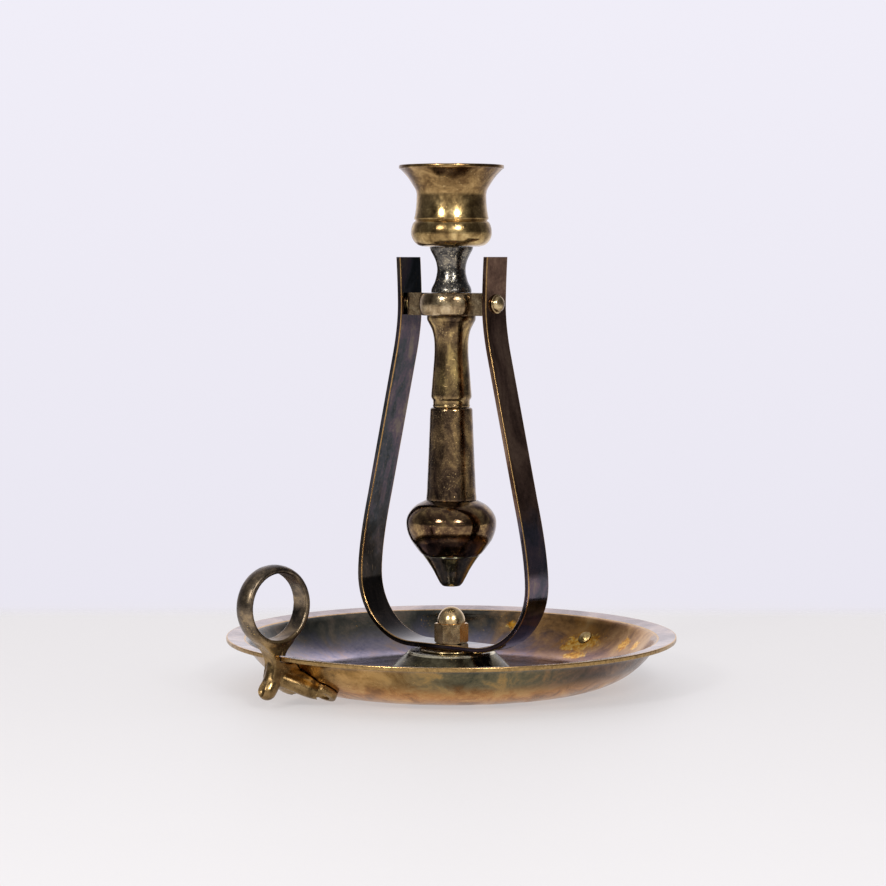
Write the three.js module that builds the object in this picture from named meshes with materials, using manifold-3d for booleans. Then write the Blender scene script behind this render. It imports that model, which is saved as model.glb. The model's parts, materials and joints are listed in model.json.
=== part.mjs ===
// A gimballed brass chamber candlestick: a spun drip dish with a finger-ring handle and a hanging
// tab, a bent strap yoke bolted to a cone at the centre of the dish, and a weighted stem with a
// candle socket that swings in the yoke. Millimetres, +Z up. The origin is the centre of the dish's
// underside, +X runs along the pivots of the yoke, and every turned piece of the stem shares the Z axis.
import * as THREE from "three";
import { mergeVertices } from "three/addons/utils/BufferGeometryUtils.js";
import Module from "manifold-3d";

const wasm = await Module();
wasm.setup();

// ---------------------------------------------------------------- driving dimensions
const SEAT = 0.1; // gap between two faces that rest on each other
const GAP = 0.3; // gap round a shank in its hole, and between a casting and the dish
const DEG = Math.PI / 180;

const DISH = {
  radius: 76.2, // 152.4 mm, a 6 inch dish
  sheet: 1.5,
  floorRadius: 45,
  bendRadius: 28.6, // outer radius of the curved wall
  wallTop: 13.3, // height where the outside of the wall turns into the flange
  creaseTop: 15, // the same on the inside
  flangeInner: 70,
  flangeHeight: 15.75,
  lipHeight: 16.6,
  segments: 72,
};
const CONE = { base: 24, top: 14.3, height: 9.4, wall: 2.4, bore: 3.3 };
const WASHER = { radius: 10.8, thickness: 0.6 };
const STRAP = { width: 11.4, thickness: 1.8, halfFlat: 13.4, bend: 23.3, top: 144.1 };
const NUT = { acrossFlats: 10, hexHeight: 6.6, domeRadius: 4.75, height: 12.2, faceAngle: -52 * DEG };
const STUD = { radius: 3, headRadius: 5.4 };

const PIVOT = { height: 128.6, halfGap: 17.05, shank: 1.9, headRadius: 3.2, dome: 2.8, rise: 2.3 };
const COLLAR = { bottom: 124.6, top: 132.2, radius: 10.2, belly: 11.1, lugWidth: 6.8, lugEnd: 16.2 };
const ROD = { radius: 2.5, bottom: 37, headRadius: 4.5, seat: 150, head: 2 };
const ROD_BORE = ROD.radius + GAP;
const SOCKET = { foot: 147.7, rim: 175, rimRadius: 17.7, boreRadius: 10.9, boreTop: 167 };
const STEM_SEAM = 93.7; // where the upper stem sits on the lower one
const BOB = { top: 62.2, bottom: 43.7, radius: 15.3, widest: 54.4, footRadius: 9.8, wall: 2.6 };
const FINIAL_FOOT = 33;

const HANDLE = { angle: -100 * DEG, ringRadius: 13.3, ringBore: 10.7, ringWidth: 7.1 };
HANDLE.ringCentre = [76.7, 32.7]; // distance out from the axis, and height
const EYELET = { spread: 6 * DEG, reach: 61, radius: 4.4, thickness: 2.4, lobeRadius: 2.6 };
const TAB = { angle: 80 * DEG, reach: 65, end: 74.4, leg: 3.6, width: 12, sheet: 1.2 };
const TAB_HOLE = { radius: 3.5, reach: 69.4 };
const TAB_RIVET = { shank: 1.3, head: 2.15, rise: 1.8, reachOut: 2.3 };
const HANDLE_RIVET = { shank: 1.6, head: 2.5, rise: 1.1, reachOut: 1.7 };

// ---------------------------------------------------------------- helpers
const at = (x, y) => new THREE.Vector2(x, y);

// Points on a circle from one angle to another, both ends included.
function arc(cx, cy, radius, from, to, steps) {
  const points = [];
  for (let i = 0; i <= steps; i++) {
    const angle = from + ((to - from) * i) / steps;
    points.push([cx + radius * Math.cos(angle), cy + radius * Math.sin(angle)]);
  }
  return points;
}

// A solid of revolution about Z. The outline is [radius, height] pairs, up the outside and, where
// there is a bore, down the inside; it closes on itself.
function turned(outline, segments = 28) {
  const points = outline.map(([r, z]) => at(r, z));
  const onAxis = points[0].x === 0 && points.at(-1).x === 0;
  if (!onAxis) points.push(points[0].clone());
  return new THREE.LatheGeometry(points, segments).rotateX(Math.PI / 2);
}

// A closed outline in the XZ plane, made thick evenly to both sides of Y = 0.
function slab(outline, width) {
  const shape = new THREE.Shape(outline.map(([x, z]) => at(x, z)));
  const geometry = new THREE.ExtrudeGeometry(shape, { depth: width, bevelEnabled: false });
  return geometry.translate(0, 0, -width / 2).rotateX(Math.PI / 2);
}

// A bar of round section along a smooth curve.
function bar(path, radius, steps = 8, sides = 8) {
  const section = new THREE.Shape(arc(0, 0, radius, 0, 2 * Math.PI, sides).slice(1).map((p) => at(...p)));
  const curve = new THREE.CatmullRomCurve3(path.map((p) => new THREE.Vector3(...p)));
  return new THREE.ExtrudeGeometry(section, { steps, extrudePath: curve, bevelEnabled: false });
}

function ball([x, y, z], radius) {
  return new THREE.SphereGeometry(radius, 12, 8).translate(x, y, z);
}

function pin(radius, length, segments = 20) {
  return new THREE.CylinderGeometry(radius, radius, length, segments).rotateX(Math.PI / 2);
}

function toSolid(geometry) {
  const bare = geometry.clone();
  bare.deleteAttribute("normal");
  bare.deleteAttribute("uv");
  const merged = mergeVertices(bare, 1e-4);
  const vertProperties = new Float32Array(merged.attributes.position.array);
  const triVerts = new Uint32Array(merged.index.array);
  return new wasm.Manifold(new wasm.Mesh({ numProp: 3, vertProperties, triVerts }));
}

function toGeometry(solid) {
  const mesh = solid.getMesh();
  const geometry = new THREE.BufferGeometry();
  geometry.setAttribute("position", new THREE.BufferAttribute(mesh.vertProperties, 3));
  geometry.setIndex(new THREE.BufferAttribute(mesh.triVerts, 1));
  geometry.computeVertexNormals();
  return geometry;
}

const join = (geometries) => geometries.map(toSolid).reduce((a, b) => a.add(b));
const cut = (solid, tools) => tools.map(toSolid).reduce((a, b) => a.subtract(b), solid);

function piece(name, geometry, colour, roughness) {
  const material = new THREE.MeshStandardMaterial({ color: colour, roughness, metalness: 1 });
  const mesh = new THREE.Mesh(geometry, material);
  mesh.name = name;
  return mesh;
}

// ---------------------------------------------------------------- drip dish
// The height of the outside of the curved wall at a distance from the axis.
function wallHeight(reach) {
  const run = reach - DISH.floorRadius;
  return DISH.bendRadius - Math.sqrt(DISH.bendRadius ** 2 - run ** 2);
}

// How far the outward normal of the wall at that distance leans below the horizontal.
function wallLean(reach) {
  return Math.acos((reach - DISH.floorRadius) / DISH.bendRadius);
}

// The dish's outline, grown all round by a distance, from the edge of a hole in its floor.
function dishOutline(grow, hole) {
  const d = DISH;
  const outer = d.bendRadius + grow;
  const inner = d.bendRadius - d.sheet - grow;
  const outerEnd = Math.asin((d.wallTop - d.bendRadius) / outer);
  const innerEnd = Math.asin((d.creaseTop - d.bendRadius) / inner);
  const wallOutside = arc(d.floorRadius, d.bendRadius, outer, -Math.PI / 2, outerEnd, 5);
  const wallInside = arc(d.floorRadius, d.bendRadius, inner, innerEnd, -Math.PI / 2, 5);
  return [
    ...hole,
    ...wallOutside,
    [d.flangeInner + 0.6, d.flangeHeight - d.sheet + 0.1 - grow],
    [d.radius + grow, d.lipHeight - d.sheet - grow],
    [d.radius + grow, d.lipHeight + grow],
    [d.flangeInner - 0.1, d.flangeHeight + grow],
    ...wallInside,
  ];
}

// What is cut out of a piece that hugs the dish, to leave a gap between the two.
function dishClearance() {
  const farInside = [
    [20, DISH.sheet + GAP],
    [20, -GAP],
  ];
  return turned(dishOutline(GAP, farInside), DISH.segments);
}

function dripDish() {
  const countersink = [
    [STUD.radius + GAP, DISH.sheet],
    [STUD.headRadius + GAP, 0],
  ];
  const dish = toSolid(turned(dishOutline(0, countersink), DISH.segments));
  const holes = handleRivetPlaces().map((place) => placed(pin(HANDLE_RIVET.shank + GAP, 12, 16), place));
  holes.push(placed(pin(TAB_RIVET.shank + GAP, 12, 16), tabRivetPlace()));
  return piece("drip_dish", toGeometry(cut(dish, holes)), 0x8a6a3c, 0.28);
}

// A place on the outside of the wall: local +Z points out of the wall, at an angle round the dish.
function wallPlace(angle, reach) {
  const tilt = new THREE.Matrix4().makeRotationY(Math.PI / 2 + wallLean(reach));
  const move = new THREE.Matrix4().makeTranslation(reach, 0, wallHeight(reach));
  const turn = new THREE.Matrix4().makeRotationZ(angle);
  return turn.multiply(move).multiply(tilt);
}

const placed = (geometry, matrix) => geometry.clone().applyMatrix4(matrix);
const tabRivetPlace = () => wallPlace(TAB.angle, TAB.reach);

function handleRivetPlaces() {
  return [-1, 1].map((side) => wallPlace(HANDLE.angle + side * EYELET.spread, EYELET.reach));
}

// ---------------------------------------------------------------- pedestal
const CONE_FOOT = DISH.sheet + SEAT;
const CONE_TOP = CONE_FOOT + CONE.height;
const WASHER_TOP = CONE_TOP + SEAT + WASHER.thickness;
const STRAP_BOTTOM = WASHER_TOP + SEAT;
const NUT_FOOT = STRAP_BOTTOM + STRAP.thickness + SEAT;

function pedestalCone() {
  const { base, top, wall, bore } = CONE;
  const outline = [
    [base - wall - 0.4, CONE_FOOT],
    [base, CONE_FOOT],
    [base, CONE_FOOT + 0.6],
    [top + 0.5, CONE_TOP - 0.5],
    [top, CONE_TOP],
    [bore, CONE_TOP],
    [bore, CONE_TOP - wall],
    [top - wall + 0.4, CONE_TOP - wall],
  ];
  return piece("pedestal_cone", turned(outline, 36), 0x6f6238, 0.35);
}

function pedestalWasher() {
  const foot = CONE_TOP + SEAT;
  const outline = [
    [CONE.bore, foot],
    [WASHER.radius, foot],
    [WASHER.radius, WASHER_TOP],
    [CONE.bore, WASHER_TOP],
  ];
  return piece("pedestal_washer", turned(outline), 0x7c6a44, 0.35);
}

// The stud's countersunk head is flush with the underside of the dish.
function centreStud() {
  const top = NUT_FOOT + NUT.height - 5;
  const outline = [
    [0, 0],
    [STUD.headRadius - 0.2, 0],
    [STUD.radius, DISH.sheet],
    [STUD.radius, top - 0.6],
    [STUD.radius - 0.6, top],
    [0, top],
  ];
  return piece("centre_stud", turned(outline, 24), 0x9a8350, 0.3);
}

function acornNut() {
  const { acrossFlats, hexHeight, domeRadius, height, faceAngle } = NUT;
  const corner = acrossFlats / 2 / Math.cos(30 * DEG);
  const hexagon = arc(0, 0, corner, faceAngle + 30 * DEG, faceAngle + 390 * DEG, 6).slice(1);
  const hexShape = new THREE.Shape(hexagon.map(([x, y]) => at(x, y)));
  const hex = new THREE.ExtrudeGeometry(hexShape, { depth: hexHeight, bevelEnabled: false });
  const chamfer = turned([
    [0, 0],
    [acrossFlats / 2, 0],
    [corner + 0.1, 0.6],
    [corner + 0.1, hexHeight - 0.6],
    [acrossFlats / 2, hexHeight],
    [0, hexHeight],
  ]);
  const side = height - domeRadius;
  const dome = turned([[0, 1], [domeRadius, 1], ...arc(0, side, domeRadius, 0, Math.PI / 2, 5)], 24);
  const body = toSolid(hex).intersect(toSolid(chamfer)).add(toSolid(dome));
  const bore = pin(STUD.radius + GAP, 2 * (height - 4), 24);
  const geometry = toGeometry(cut(body, [bore])).translate(0, 0, NUT_FOOT);
  return piece("acorn_nut", geometry, 0xd8c38a, 0.2);
}

// ---------------------------------------------------------------- yoke
// The outer edge of the strap's right half, from the middle of the flat foot to the top of the arm.
function strapEdge() {
  const bendCentre = STRAP_BOTTOM + STRAP.bend;
  const widest = STRAP.halfFlat + STRAP.bend;
  const edge = new THREE.Path();
  edge.moveTo(0, STRAP_BOTTOM);
  edge.lineTo(STRAP.halfFlat, STRAP_BOTTOM);
  edge.absarc(STRAP.halfFlat, bendCentre, STRAP.bend, -Math.PI / 2, 0, false);
  edge.bezierCurveTo(widest, bendCentre + 8.5, 34.1, 55.4, 32.1, 63.4);
  edge.lineTo(20.9, 112);
  edge.bezierCurveTo(19.54, 118, 18.7, 124, 18.85, 130);
  edge.bezierCurveTo(18.95, 135, 19.2, 140, 19.45, STRAP.top);
  return edge.getPoints(7);
}

// The same edge, moved in by the strap's thickness.
function insetEdge(points, distance) {
  return points.map((point, i) => {
    const along = points[Math.min(i + 1, points.length - 1)].clone();
    along.sub(points[Math.max(i - 1, 0)]).normalize();
    return at(point.x - along.y * distance, point.y + along.x * distance);
  });
}

function yokeStrap() {
  const outer = strapEdge();
  const inner = insetEdge(outer, STRAP.thickness);
  const mirror = (points) => points.slice(1).map((p) => at(-p.x, p.y));
  const outline = [
    ...outer,
    ...inner.slice().reverse(),
    ...mirror(inner),
    ...mirror(outer).reverse(),
  ].map((p) => [p.x, p.y]);
  const pivotHoles = pin(PIVOT.shank + GAP, 60).rotateY(Math.PI / 2).translate(0, 0, PIVOT.height);
  const studHole = pin(STUD.radius + GAP, 8, 24).translate(0, 0, STRAP_BOTTOM);
  const strap = cut(toSolid(slab(outline, STRAP.width)), [pivotHoles, studHole]);
  return piece("yoke_strap", toGeometry(strap), 0x4a3826, 0.3);
}

// A domed rivet along the pivot axis: its head outside the arm, its shank in the collar's lug.
function pivotRivet(side, name) {
  const head = PIVOT.halfGap + STRAP.thickness + 0.15;
  const tip = COLLAR.belly + 0.4;
  const domeBase = head + 0.5;
  const rise = PIVOT.rise - 0.5;
  const outline = [
    [0, tip],
    [PIVOT.shank, tip],
    [PIVOT.shank, head],
    [PIVOT.headRadius, head],
    [PIVOT.headRadius - 0.15, domeBase],
    [PIVOT.dome, domeBase + 0.1],
    [PIVOT.dome * 0.82, domeBase + rise * 0.62],
    [PIVOT.dome * 0.45, domeBase + rise * 0.93],
    [0, domeBase + rise],
  ];
  const geometry = turned(outline, 20).rotateY((side * Math.PI) / 2).translate(0, 0, PIVOT.height);
  return piece(name, geometry, 0xb3925a, 0.3);
}

function pivotWasher(side, name) {
  const near = COLLAR.lugEnd + 0.15;
  const outline = [
    [PIVOT.shank + GAP, near],
    [3.4, near],
    [3.4, near + 0.5],
    [PIVOT.shank + GAP, near + 0.5],
  ];
  const geometry = turned(outline, 20).rotateY((side * Math.PI) / 2).translate(0, 0, PIVOT.height);
  return piece(name, geometry, 0x8a744c, 0.35);
}

// ---------------------------------------------------------------- swinging stem
// The collar is a low barrel on the stem with a square lug to each arm of the yoke.
function crossbarCollar() {
  const { bottom, top, radius, belly, lugWidth, lugEnd } = COLLAR;
  const height = top - bottom;
  const middle = (top + bottom) / 2;
  const barrel = turned(
    [
      [ROD_BORE, bottom],
      [radius, bottom],
      [(radius + 2 * belly) / 3, bottom + height * 0.22],
      [belly, middle],
      [(radius + 2 * belly) / 3, top - height * 0.22],
      [radius, top],
      [ROD_BORE, top],
    ],
    32,
  );
  const lugStart = ROD_BORE + 2;
  const lugLength = lugEnd - lugStart;
  const lugs = [-1, 1].map((side) =>
    new THREE.BoxGeometry(lugLength, lugWidth, height).translate(
      side * (lugStart + lugLength / 2),
      0,
      middle,
    ),
  );
  const boreLength = 10;
  const bores = [-1, 1].map((side) =>
    pin(PIVOT.shank + GAP, boreLength)
      .rotateY(Math.PI / 2)
      .translate(side * (COLLAR.belly + boreLength / 2), 0, PIVOT.height),
  );
  const collar = cut(join([barrel, ...lugs]), bores);
  return piece("crossbar_collar", toGeometry(collar), 0xa98a4e, 0.25);
}

function neckSpool() {
  const top = SOCKET.foot - SEAT;
  const foot = COLLAR.top + SEAT;
  const outline = [
    [ROD_BORE, foot],
    [6.8, foot],
    [6.8, 133],
    [6.5, 134],
    [5.6, 135.9],
    [5.05, 137.9],
    [4.8, 139.7],
    [4.9, 141.2],
    [5.4, 143.2],
    [6.2, 144.9],
    [7, 146.4],
    [7.3, top],
    [ROD_BORE, top],
  ];
  return piece("neck_spool", turned(outline), 0x5f5b4a, 0.4);
}

function candleSocket() {
  const { foot, rim, rimRadius, boreRadius, boreTop } = SOCKET;
  const outline = [
    [ROD_BORE, foot],
    [9.6, foot],
    [11.3, 148.3],
    [12.6, 149.5],
    [13.4, 151],
    [13.6, 152.4],
    [13.4, 154],
    [12.8, 155.8],
    [12.1, 156.3],
    [12.5, 156.9],
    [12.3, 158],
    [12, 160],
    [11.75, 163.2],
    [11.85, 166.1],
    [13.1, 168.5],
    [14.8, 171],
    [rimRadius - 0.4, 173.6],
    [rimRadius, rim - 1],
    [rimRadius - 0.3, rim],
    [boreRadius + 3.4, rim - 0.4],
    [boreRadius + 0.5, boreTop + 3.5],
    [boreRadius, boreTop],
    [boreRadius, ROD.seat],
    [ROD_BORE, ROD.seat],
  ];
  return piece("candle_socket", turned(outline, 32), 0x9c7a40, 0.25);
}

function upperStem() {
  const outline = [
    [ROD_BORE, STEM_SEAM],
    [6.2, STEM_SEAM],
    [6.3, 95.9],
    [6.85, 97.4],
    [6.3, 104],
    [5.73, 111],
    [5.73, 116],
    [6.6, 120],
    [8.2, 122.6],
    [8.26, COLLAR.bottom - SEAT],
    [ROD_BORE, COLLAR.bottom - SEAT],
  ];
  return piece("upper_stem", turned(outline), 0x6d5e38, 0.3);
}

function lowerStem() {
  const top = STEM_SEAM - SEAT;
  const outline = [
    [ROD_BORE, BOB.top + SEAT],
    [8.5, BOB.top + SEAT],
    [8.5, 63.6],
    [8.1, 66],
    [7.25, 91.6],
    [7.1, top - 0.6],
    [6.3, top],
    [ROD_BORE, top],
  ];
  return piece("lower_stem", turned(outline), 0x75643a, 0.3);
}

// The bob is a shell open at the foot, with the lead slug inside it.
function counterweightBob() {
  const { top, bottom, radius, widest, footRadius, wall } = BOB;
  const outline = [
    [footRadius - wall, bottom],
    [footRadius, bottom],
    [12.2, 46.5],
    [13.9, 49],
    [14.95, 51.6],
    [radius, widest],
    [15, 56.2],
    [13.95, 58.4],
    [11.9, 60.4],
    [8.8, top],
    [ROD_BORE, top],
    [ROD_BORE, top - wall],
    [9.6, top - wall],
    [radius - wall, widest + 1.4],
    [radius - wall, widest - 1.4],
  ];
  return piece("counterweight_bob", turned(outline, 32), 0x5a4028, 0.22);
}

function leadSlug() {
  const foot = BOB.bottom + SEAT;
  const top = BOB.top - BOB.wall - GAP;
  const belly = BOB.radius - BOB.wall - 0.7;
  const outline = [
    [ROD_BORE, foot],
    [BOB.footRadius - BOB.wall - GAP, foot],
    [belly, BOB.widest - 1.6],
    [belly, BOB.widest + 1],
    [9, top],
    [ROD_BORE, top],
  ];
  return piece("lead_slug", turned(outline), 0x6a6c70, 0.6);
}

function finial() {
  const top = BOB.bottom - SEAT;
  const outline = [
    [0, FINIAL_FOOT],
    [2.8, FINIAL_FOOT],
    [3.4, 33.4],
    [4, 34.3],
    [5.35, 36.7],
    [7.1, 39.9],
    [9.2, 42.9],
    [9.6, top],
    [ROD_BORE, top],
    [ROD_BORE, ROD.bottom - GAP],
    [0, ROD.bottom - GAP],
  ];
  return piece("finial", turned(outline), 0x4f3d28, 0.25);
}

// The rod runs from a blind hole in the finial to a screw head on the floor of the socket.
function tieRod() {
  const seat = ROD.seat + SEAT;
  const outline = [
    [0, ROD.bottom],
    [ROD.radius, ROD.bottom],
    [ROD.radius, seat],
    [ROD.headRadius, seat],
    [ROD.headRadius, seat + ROD.head],
    [0, seat + ROD.head],
  ];
  return piece("tie_rod", turned(outline, 24), 0x9a8350, 0.35);
}

// ---------------------------------------------------------------- handle
// The casting in its own frame: +X away from the dish's axis, the finger ring in the XZ plane.
function handleCasting() {
  const { ringRadius, ringBore, ringWidth, ringCentre } = HANDLE;
  const [reach, height] = ringCentre;
  const half = ringWidth / 2;
  const ring = turned(
    [
      [ringBore, -half + 0.4],
      [ringBore + 0.5, -half],
      [ringRadius - 1.1, -half],
      [ringRadius - 0.2, -half * 0.5],
      [ringRadius, 0],
      [ringRadius - 0.2, half * 0.5],
      [ringRadius - 1.1, half],
      [ringBore + 0.5, half],
      [ringBore, half - 0.4],
    ],
    28,
  );
  ring.rotateX(Math.PI / 2).translate(reach, 0, height);
  const neck = slab(
    [
      [83.2, 21.2],
      [76.7, 21],
      [70.4, 21],
      [73, 18.4],
      [74.3, 16.2],
      [73.9, 14.4],
      [69, 13.6],
      [69.2, 9.4],
      [75.5, 7.6],
      [79.2, 9.2],
      [78.4, 13],
      [78.6, 16],
      [79.9, 18.2],
    ].reverse(),
    5.6,
  );
  const tailEnd = [79.4, 0, 5.5];
  const tail = bar([[76.2, 0, 13], [77, 0, 9.3], tailEnd], 3, 6);
  const lobes = [-1, 1].flatMap((side) => {
    const end = new THREE.Vector3(0, 0, EYELET.thickness / 2).applyMatrix4(
      wallPlace(side * EYELET.spread, EYELET.reach),
    );
    const path = [[75, 0, 9.5], [70.5, side * 3.5, 7.2], [65.7, side * 5.7, 5], end.toArray()];
    const eyelet = pin(EYELET.radius, EYELET.thickness, 24).translate(0, 0, EYELET.thickness / 2);
    return [bar(path, EYELET.lobeRadius), placed(eyelet, wallPlace(side * EYELET.spread, EYELET.reach))];
  });
  const holes = [-1, 1].map((side) =>
    placed(pin(HANDLE_RIVET.shank + GAP, 12, 16), wallPlace(side * EYELET.spread, EYELET.reach)),
  );
  const solid = cut(join([ring, neck, tail, ball(tailEnd, 3.1), ...lobes]), [dishClearance(), ...holes]);
  const casting = piece("handle_casting", toGeometry(solid), 0x8d7240, 0.35);
  casting.rotation.z = HANDLE.angle;
  return casting;
}

// A rivet through the dish wall, with its head inside the dish. Local +Z points out of the wall.
function wallRivet(name, { shank, head, rise, reachOut }, matrix) {
  const seat = -DISH.sheet - GAP;
  const outline = [
    [0, seat - rise],
    [head * 0.5, seat - rise * 0.88],
    [head * 0.88, seat - rise * 0.5],
    [head, seat],
    [shank, seat],
    [shank, reachOut],
    [0, reachOut],
  ];
  const rivet = piece(name, turned(outline, 16), 0x8a6a3c, 0.35);
  rivet.applyMatrix4(matrix);
  return rivet;
}

// ---------------------------------------------------------------- hanging tab
// A bent strip: one leg riveted to the wall, the other level under the flange with a hole in it.
function hangingTab() {
  const lift = GAP + TAB.sheet / 2;
  const lean = wallLean(TAB.reach);
  const out = [Math.cos(lean), -Math.sin(lean)];
  const along = [Math.sin(lean), Math.cos(lean)];
  const middle = [TAB.reach + out[0] * lift, wallHeight(TAB.reach) + out[1] * lift];
  const top = [middle[0] + along[0] * TAB.leg, middle[1] + along[1] * TAB.leg];
  const knee = [middle[0] - along[0] * TAB.leg + TAB.sheet, middle[1] - along[1] * TAB.leg];
  const end = [TAB.end, knee[1]];
  const half = TAB.sheet / 2;
  const outline = [
    [knee[0] - 0.5, knee[1] - half],
    [end[0], end[1] - half],
    [end[0], end[1] + half],
    [knee[0] + TAB.sheet, knee[1] + half],
    [top[0] + out[0] * half, top[1] + out[1] * half],
    [top[0] - out[0] * half, top[1] - out[1] * half],
  ];
  const strip = toSolid(slab(outline, TAB.width));
  const hole = pin(TAB_HOLE.radius, 8, 24).translate(TAB_HOLE.reach, 0, knee[1]);
  const rivetHole = placed(pin(TAB_RIVET.shank + GAP, 10, 16), wallPlace(0, TAB.reach));
  const tab = piece("hanging_tab", toGeometry(cut(strip, [hole, rivetHole, dishClearance()])), 0x8a744c, 0.35);
  tab.rotation.z = TAB.angle;
  return tab;
}

// ---------------------------------------------------------------- assembly
const base = new THREE.Group();
base.add(dripDish(), pedestalCone(), pedestalWasher(), centreStud(), acornNut());
base.add(handleCasting(), hangingTab());
["handle_rivet_left", "handle_rivet_right"].forEach((name, i) => {
  base.add(wallRivet(name, HANDLE_RIVET, handleRivetPlaces()[i]));
});
base.add(wallRivet("hanging_tab_rivet", TAB_RIVET, tabRivetPlace()));

const yoke = new THREE.Group();
yoke.add(yokeStrap());
yoke.add(pivotRivet(-1, "pivot_rivet_left"), pivotRivet(1, "pivot_rivet_right"));
yoke.add(pivotWasher(-1, "pivot_washer_left"), pivotWasher(1, "pivot_washer_right"));

const stem = new THREE.Group();
stem.add(crossbarCollar(), neckSpool(), candleSocket(), upperStem(), lowerStem());
stem.add(counterweightBob(), leadSlug(), finial(), tieRod());

const candlestick = new THREE.Group();
candlestick.add(base, yoke, stem);

export default candlestick;
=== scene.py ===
"""The looks of a gimballed brass candlestick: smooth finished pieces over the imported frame, aged brass
materials, a pale table and two soft boxes. Lengths in the outlines are millimetres, from the frame."""

import json
import math

import bmesh
import bpy
from mathutils import Matrix, Vector, noise


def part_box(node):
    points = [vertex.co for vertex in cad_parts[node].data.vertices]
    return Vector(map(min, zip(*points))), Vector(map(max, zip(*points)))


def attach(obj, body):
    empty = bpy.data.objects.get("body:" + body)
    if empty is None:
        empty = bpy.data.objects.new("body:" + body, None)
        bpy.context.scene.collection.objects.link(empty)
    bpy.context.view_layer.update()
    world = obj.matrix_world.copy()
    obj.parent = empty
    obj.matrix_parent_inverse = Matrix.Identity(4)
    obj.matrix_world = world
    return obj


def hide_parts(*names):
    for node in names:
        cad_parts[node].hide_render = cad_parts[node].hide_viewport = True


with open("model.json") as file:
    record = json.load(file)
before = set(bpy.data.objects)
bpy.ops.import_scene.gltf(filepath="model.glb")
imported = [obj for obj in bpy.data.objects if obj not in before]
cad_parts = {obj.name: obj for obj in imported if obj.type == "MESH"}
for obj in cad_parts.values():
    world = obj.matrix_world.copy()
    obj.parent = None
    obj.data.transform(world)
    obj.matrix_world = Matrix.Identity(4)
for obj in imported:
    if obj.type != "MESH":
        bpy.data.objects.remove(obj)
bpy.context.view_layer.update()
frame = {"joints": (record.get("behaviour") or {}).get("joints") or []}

MM = 0.001
ROUND = 128  # segments of a turned piece


# ------------------------------------------------------------------ places read from the frame
def low(node):
    """The lowest corner of a CAD node, in millimetres."""
    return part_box(node)[0] / MM


def high(node):
    """The highest corner of a CAD node, in millimetres."""
    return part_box(node)[1] / MM


JOINTS = {joint["name"]: joint for joint in frame["joints"]}
PIVOT_HEIGHT = JOINTS["stem_swing"]["pos_m"][2] / MM
DISH_RADIUS = high("drip_dish").x
LIP_HEIGHT = high("drip_dish").z
STRAP_FOOT = low("yoke_strap").z
STRAP_TOP = high("yoke_strap").z
STRAP_HALF_WIDTH = high("yoke_strap").y
STRAP_REACH = high("yoke_strap").x

# dish
SHEET = 1.5
PAINTED_REFLECTION_SIDE = (0.79, 0.61, 0)  # the side of the dish to the camera's right; colours that change along it are painted reflections
FLOOR_RADIUS = 45.0
BEND_RADIUS = 28.6
WALL_TOP = 13.3
FLANGE_INNER = 70.0
FLANGE_HEIGHT = 15.75

# handle and tab, as places round the dish
HANDLE_ANGLE = math.radians(-100)
EYELET_SPREAD = math.radians(6)
EYELET_REACH = 61.0
RING_CENTRE = Vector((76.7, 0, 32.7))
RING_OUTER = 13.3
RING_INNER = 10.7
TAB_ANGLE = math.radians(80)
TAB_REACH = 65.0
NUT_FACE = -52  # degrees; a flat of the nut faces this way


# ------------------------------------------------------------------ outlines
def arc(cx, cy, radius, start, end, steps):
    """Points of an arc, both ends included, angles in degrees."""
    points = []
    for i in range(steps + 1):
        a = math.radians(start + (end - start) * i / steps)
        points.append((cx + radius * math.cos(a), cy + radius * math.sin(a)))
    return points


def flowing(points, steps=6):
    """A smooth curve through the points (centripetal Catmull-Rom)."""
    ends = [
        (2 * points[0][0] - points[1][0], 2 * points[0][1] - points[1][1]),
        (2 * points[-1][0] - points[-2][0], 2 * points[-1][1] - points[-2][1]),
    ]
    chain = [Vector(p) for p in [ends[0], *points, ends[1]]]
    curve = []
    for p0, p1, p2, p3 in zip(chain, chain[1:], chain[2:], chain[3:]):
        knots = [0.0]
        for a, b in ((p0, p1), (p1, p2), (p2, p3)):
            knots.append(knots[-1] + max((b - a).length, 1e-6) ** 0.5)
        t0, t1, t2, t3 = knots
        for i in range(steps):
            t = t1 + (t2 - t1) * i / steps
            a1 = p0 * ((t1 - t) / (t1 - t0)) + p1 * ((t - t0) / (t1 - t0))
            a2 = p1 * ((t2 - t) / (t2 - t1)) + p2 * ((t - t1) / (t2 - t1))
            a3 = p2 * ((t3 - t) / (t3 - t2)) + p3 * ((t - t2) / (t3 - t2))
            b1 = a1 * ((t2 - t) / (t2 - t0)) + a2 * ((t - t0) / (t2 - t0))
            b2 = a2 * ((t3 - t) / (t3 - t1)) + a3 * ((t - t1) / (t3 - t1))
            curve.append(tuple(b1 * ((t2 - t) / (t2 - t1)) + b2 * ((t - t1) / (t2 - t1))))
    curve.append(tuple(points[-1]))
    return curve


def softened(points, closed=True, steps=3):
    """The outline with each corner that has a third number rounded to that radius."""
    result = []
    count = len(points)
    for i, point in enumerate(points):
        here = Vector(point[:2])
        radius = point[2] if len(point) > 2 else 0
        if not radius or (not closed and i in (0, count - 1)):
            result.append(tuple(here))
            continue
        before = Vector(points[i - 1][:2]) - here
        after = Vector(points[(i + 1) % count][:2]) - here
        reach = min(radius, before.length * 0.45, after.length * 0.45)
        start = here + before.normalized() * reach
        end = here + after.normalized() * reach
        for k in range(steps + 1):
            t = k / steps
            result.append(tuple(start * (1 - t) ** 2 + here * (2 * t * (1 - t)) + end * t**2))
    return result


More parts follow.
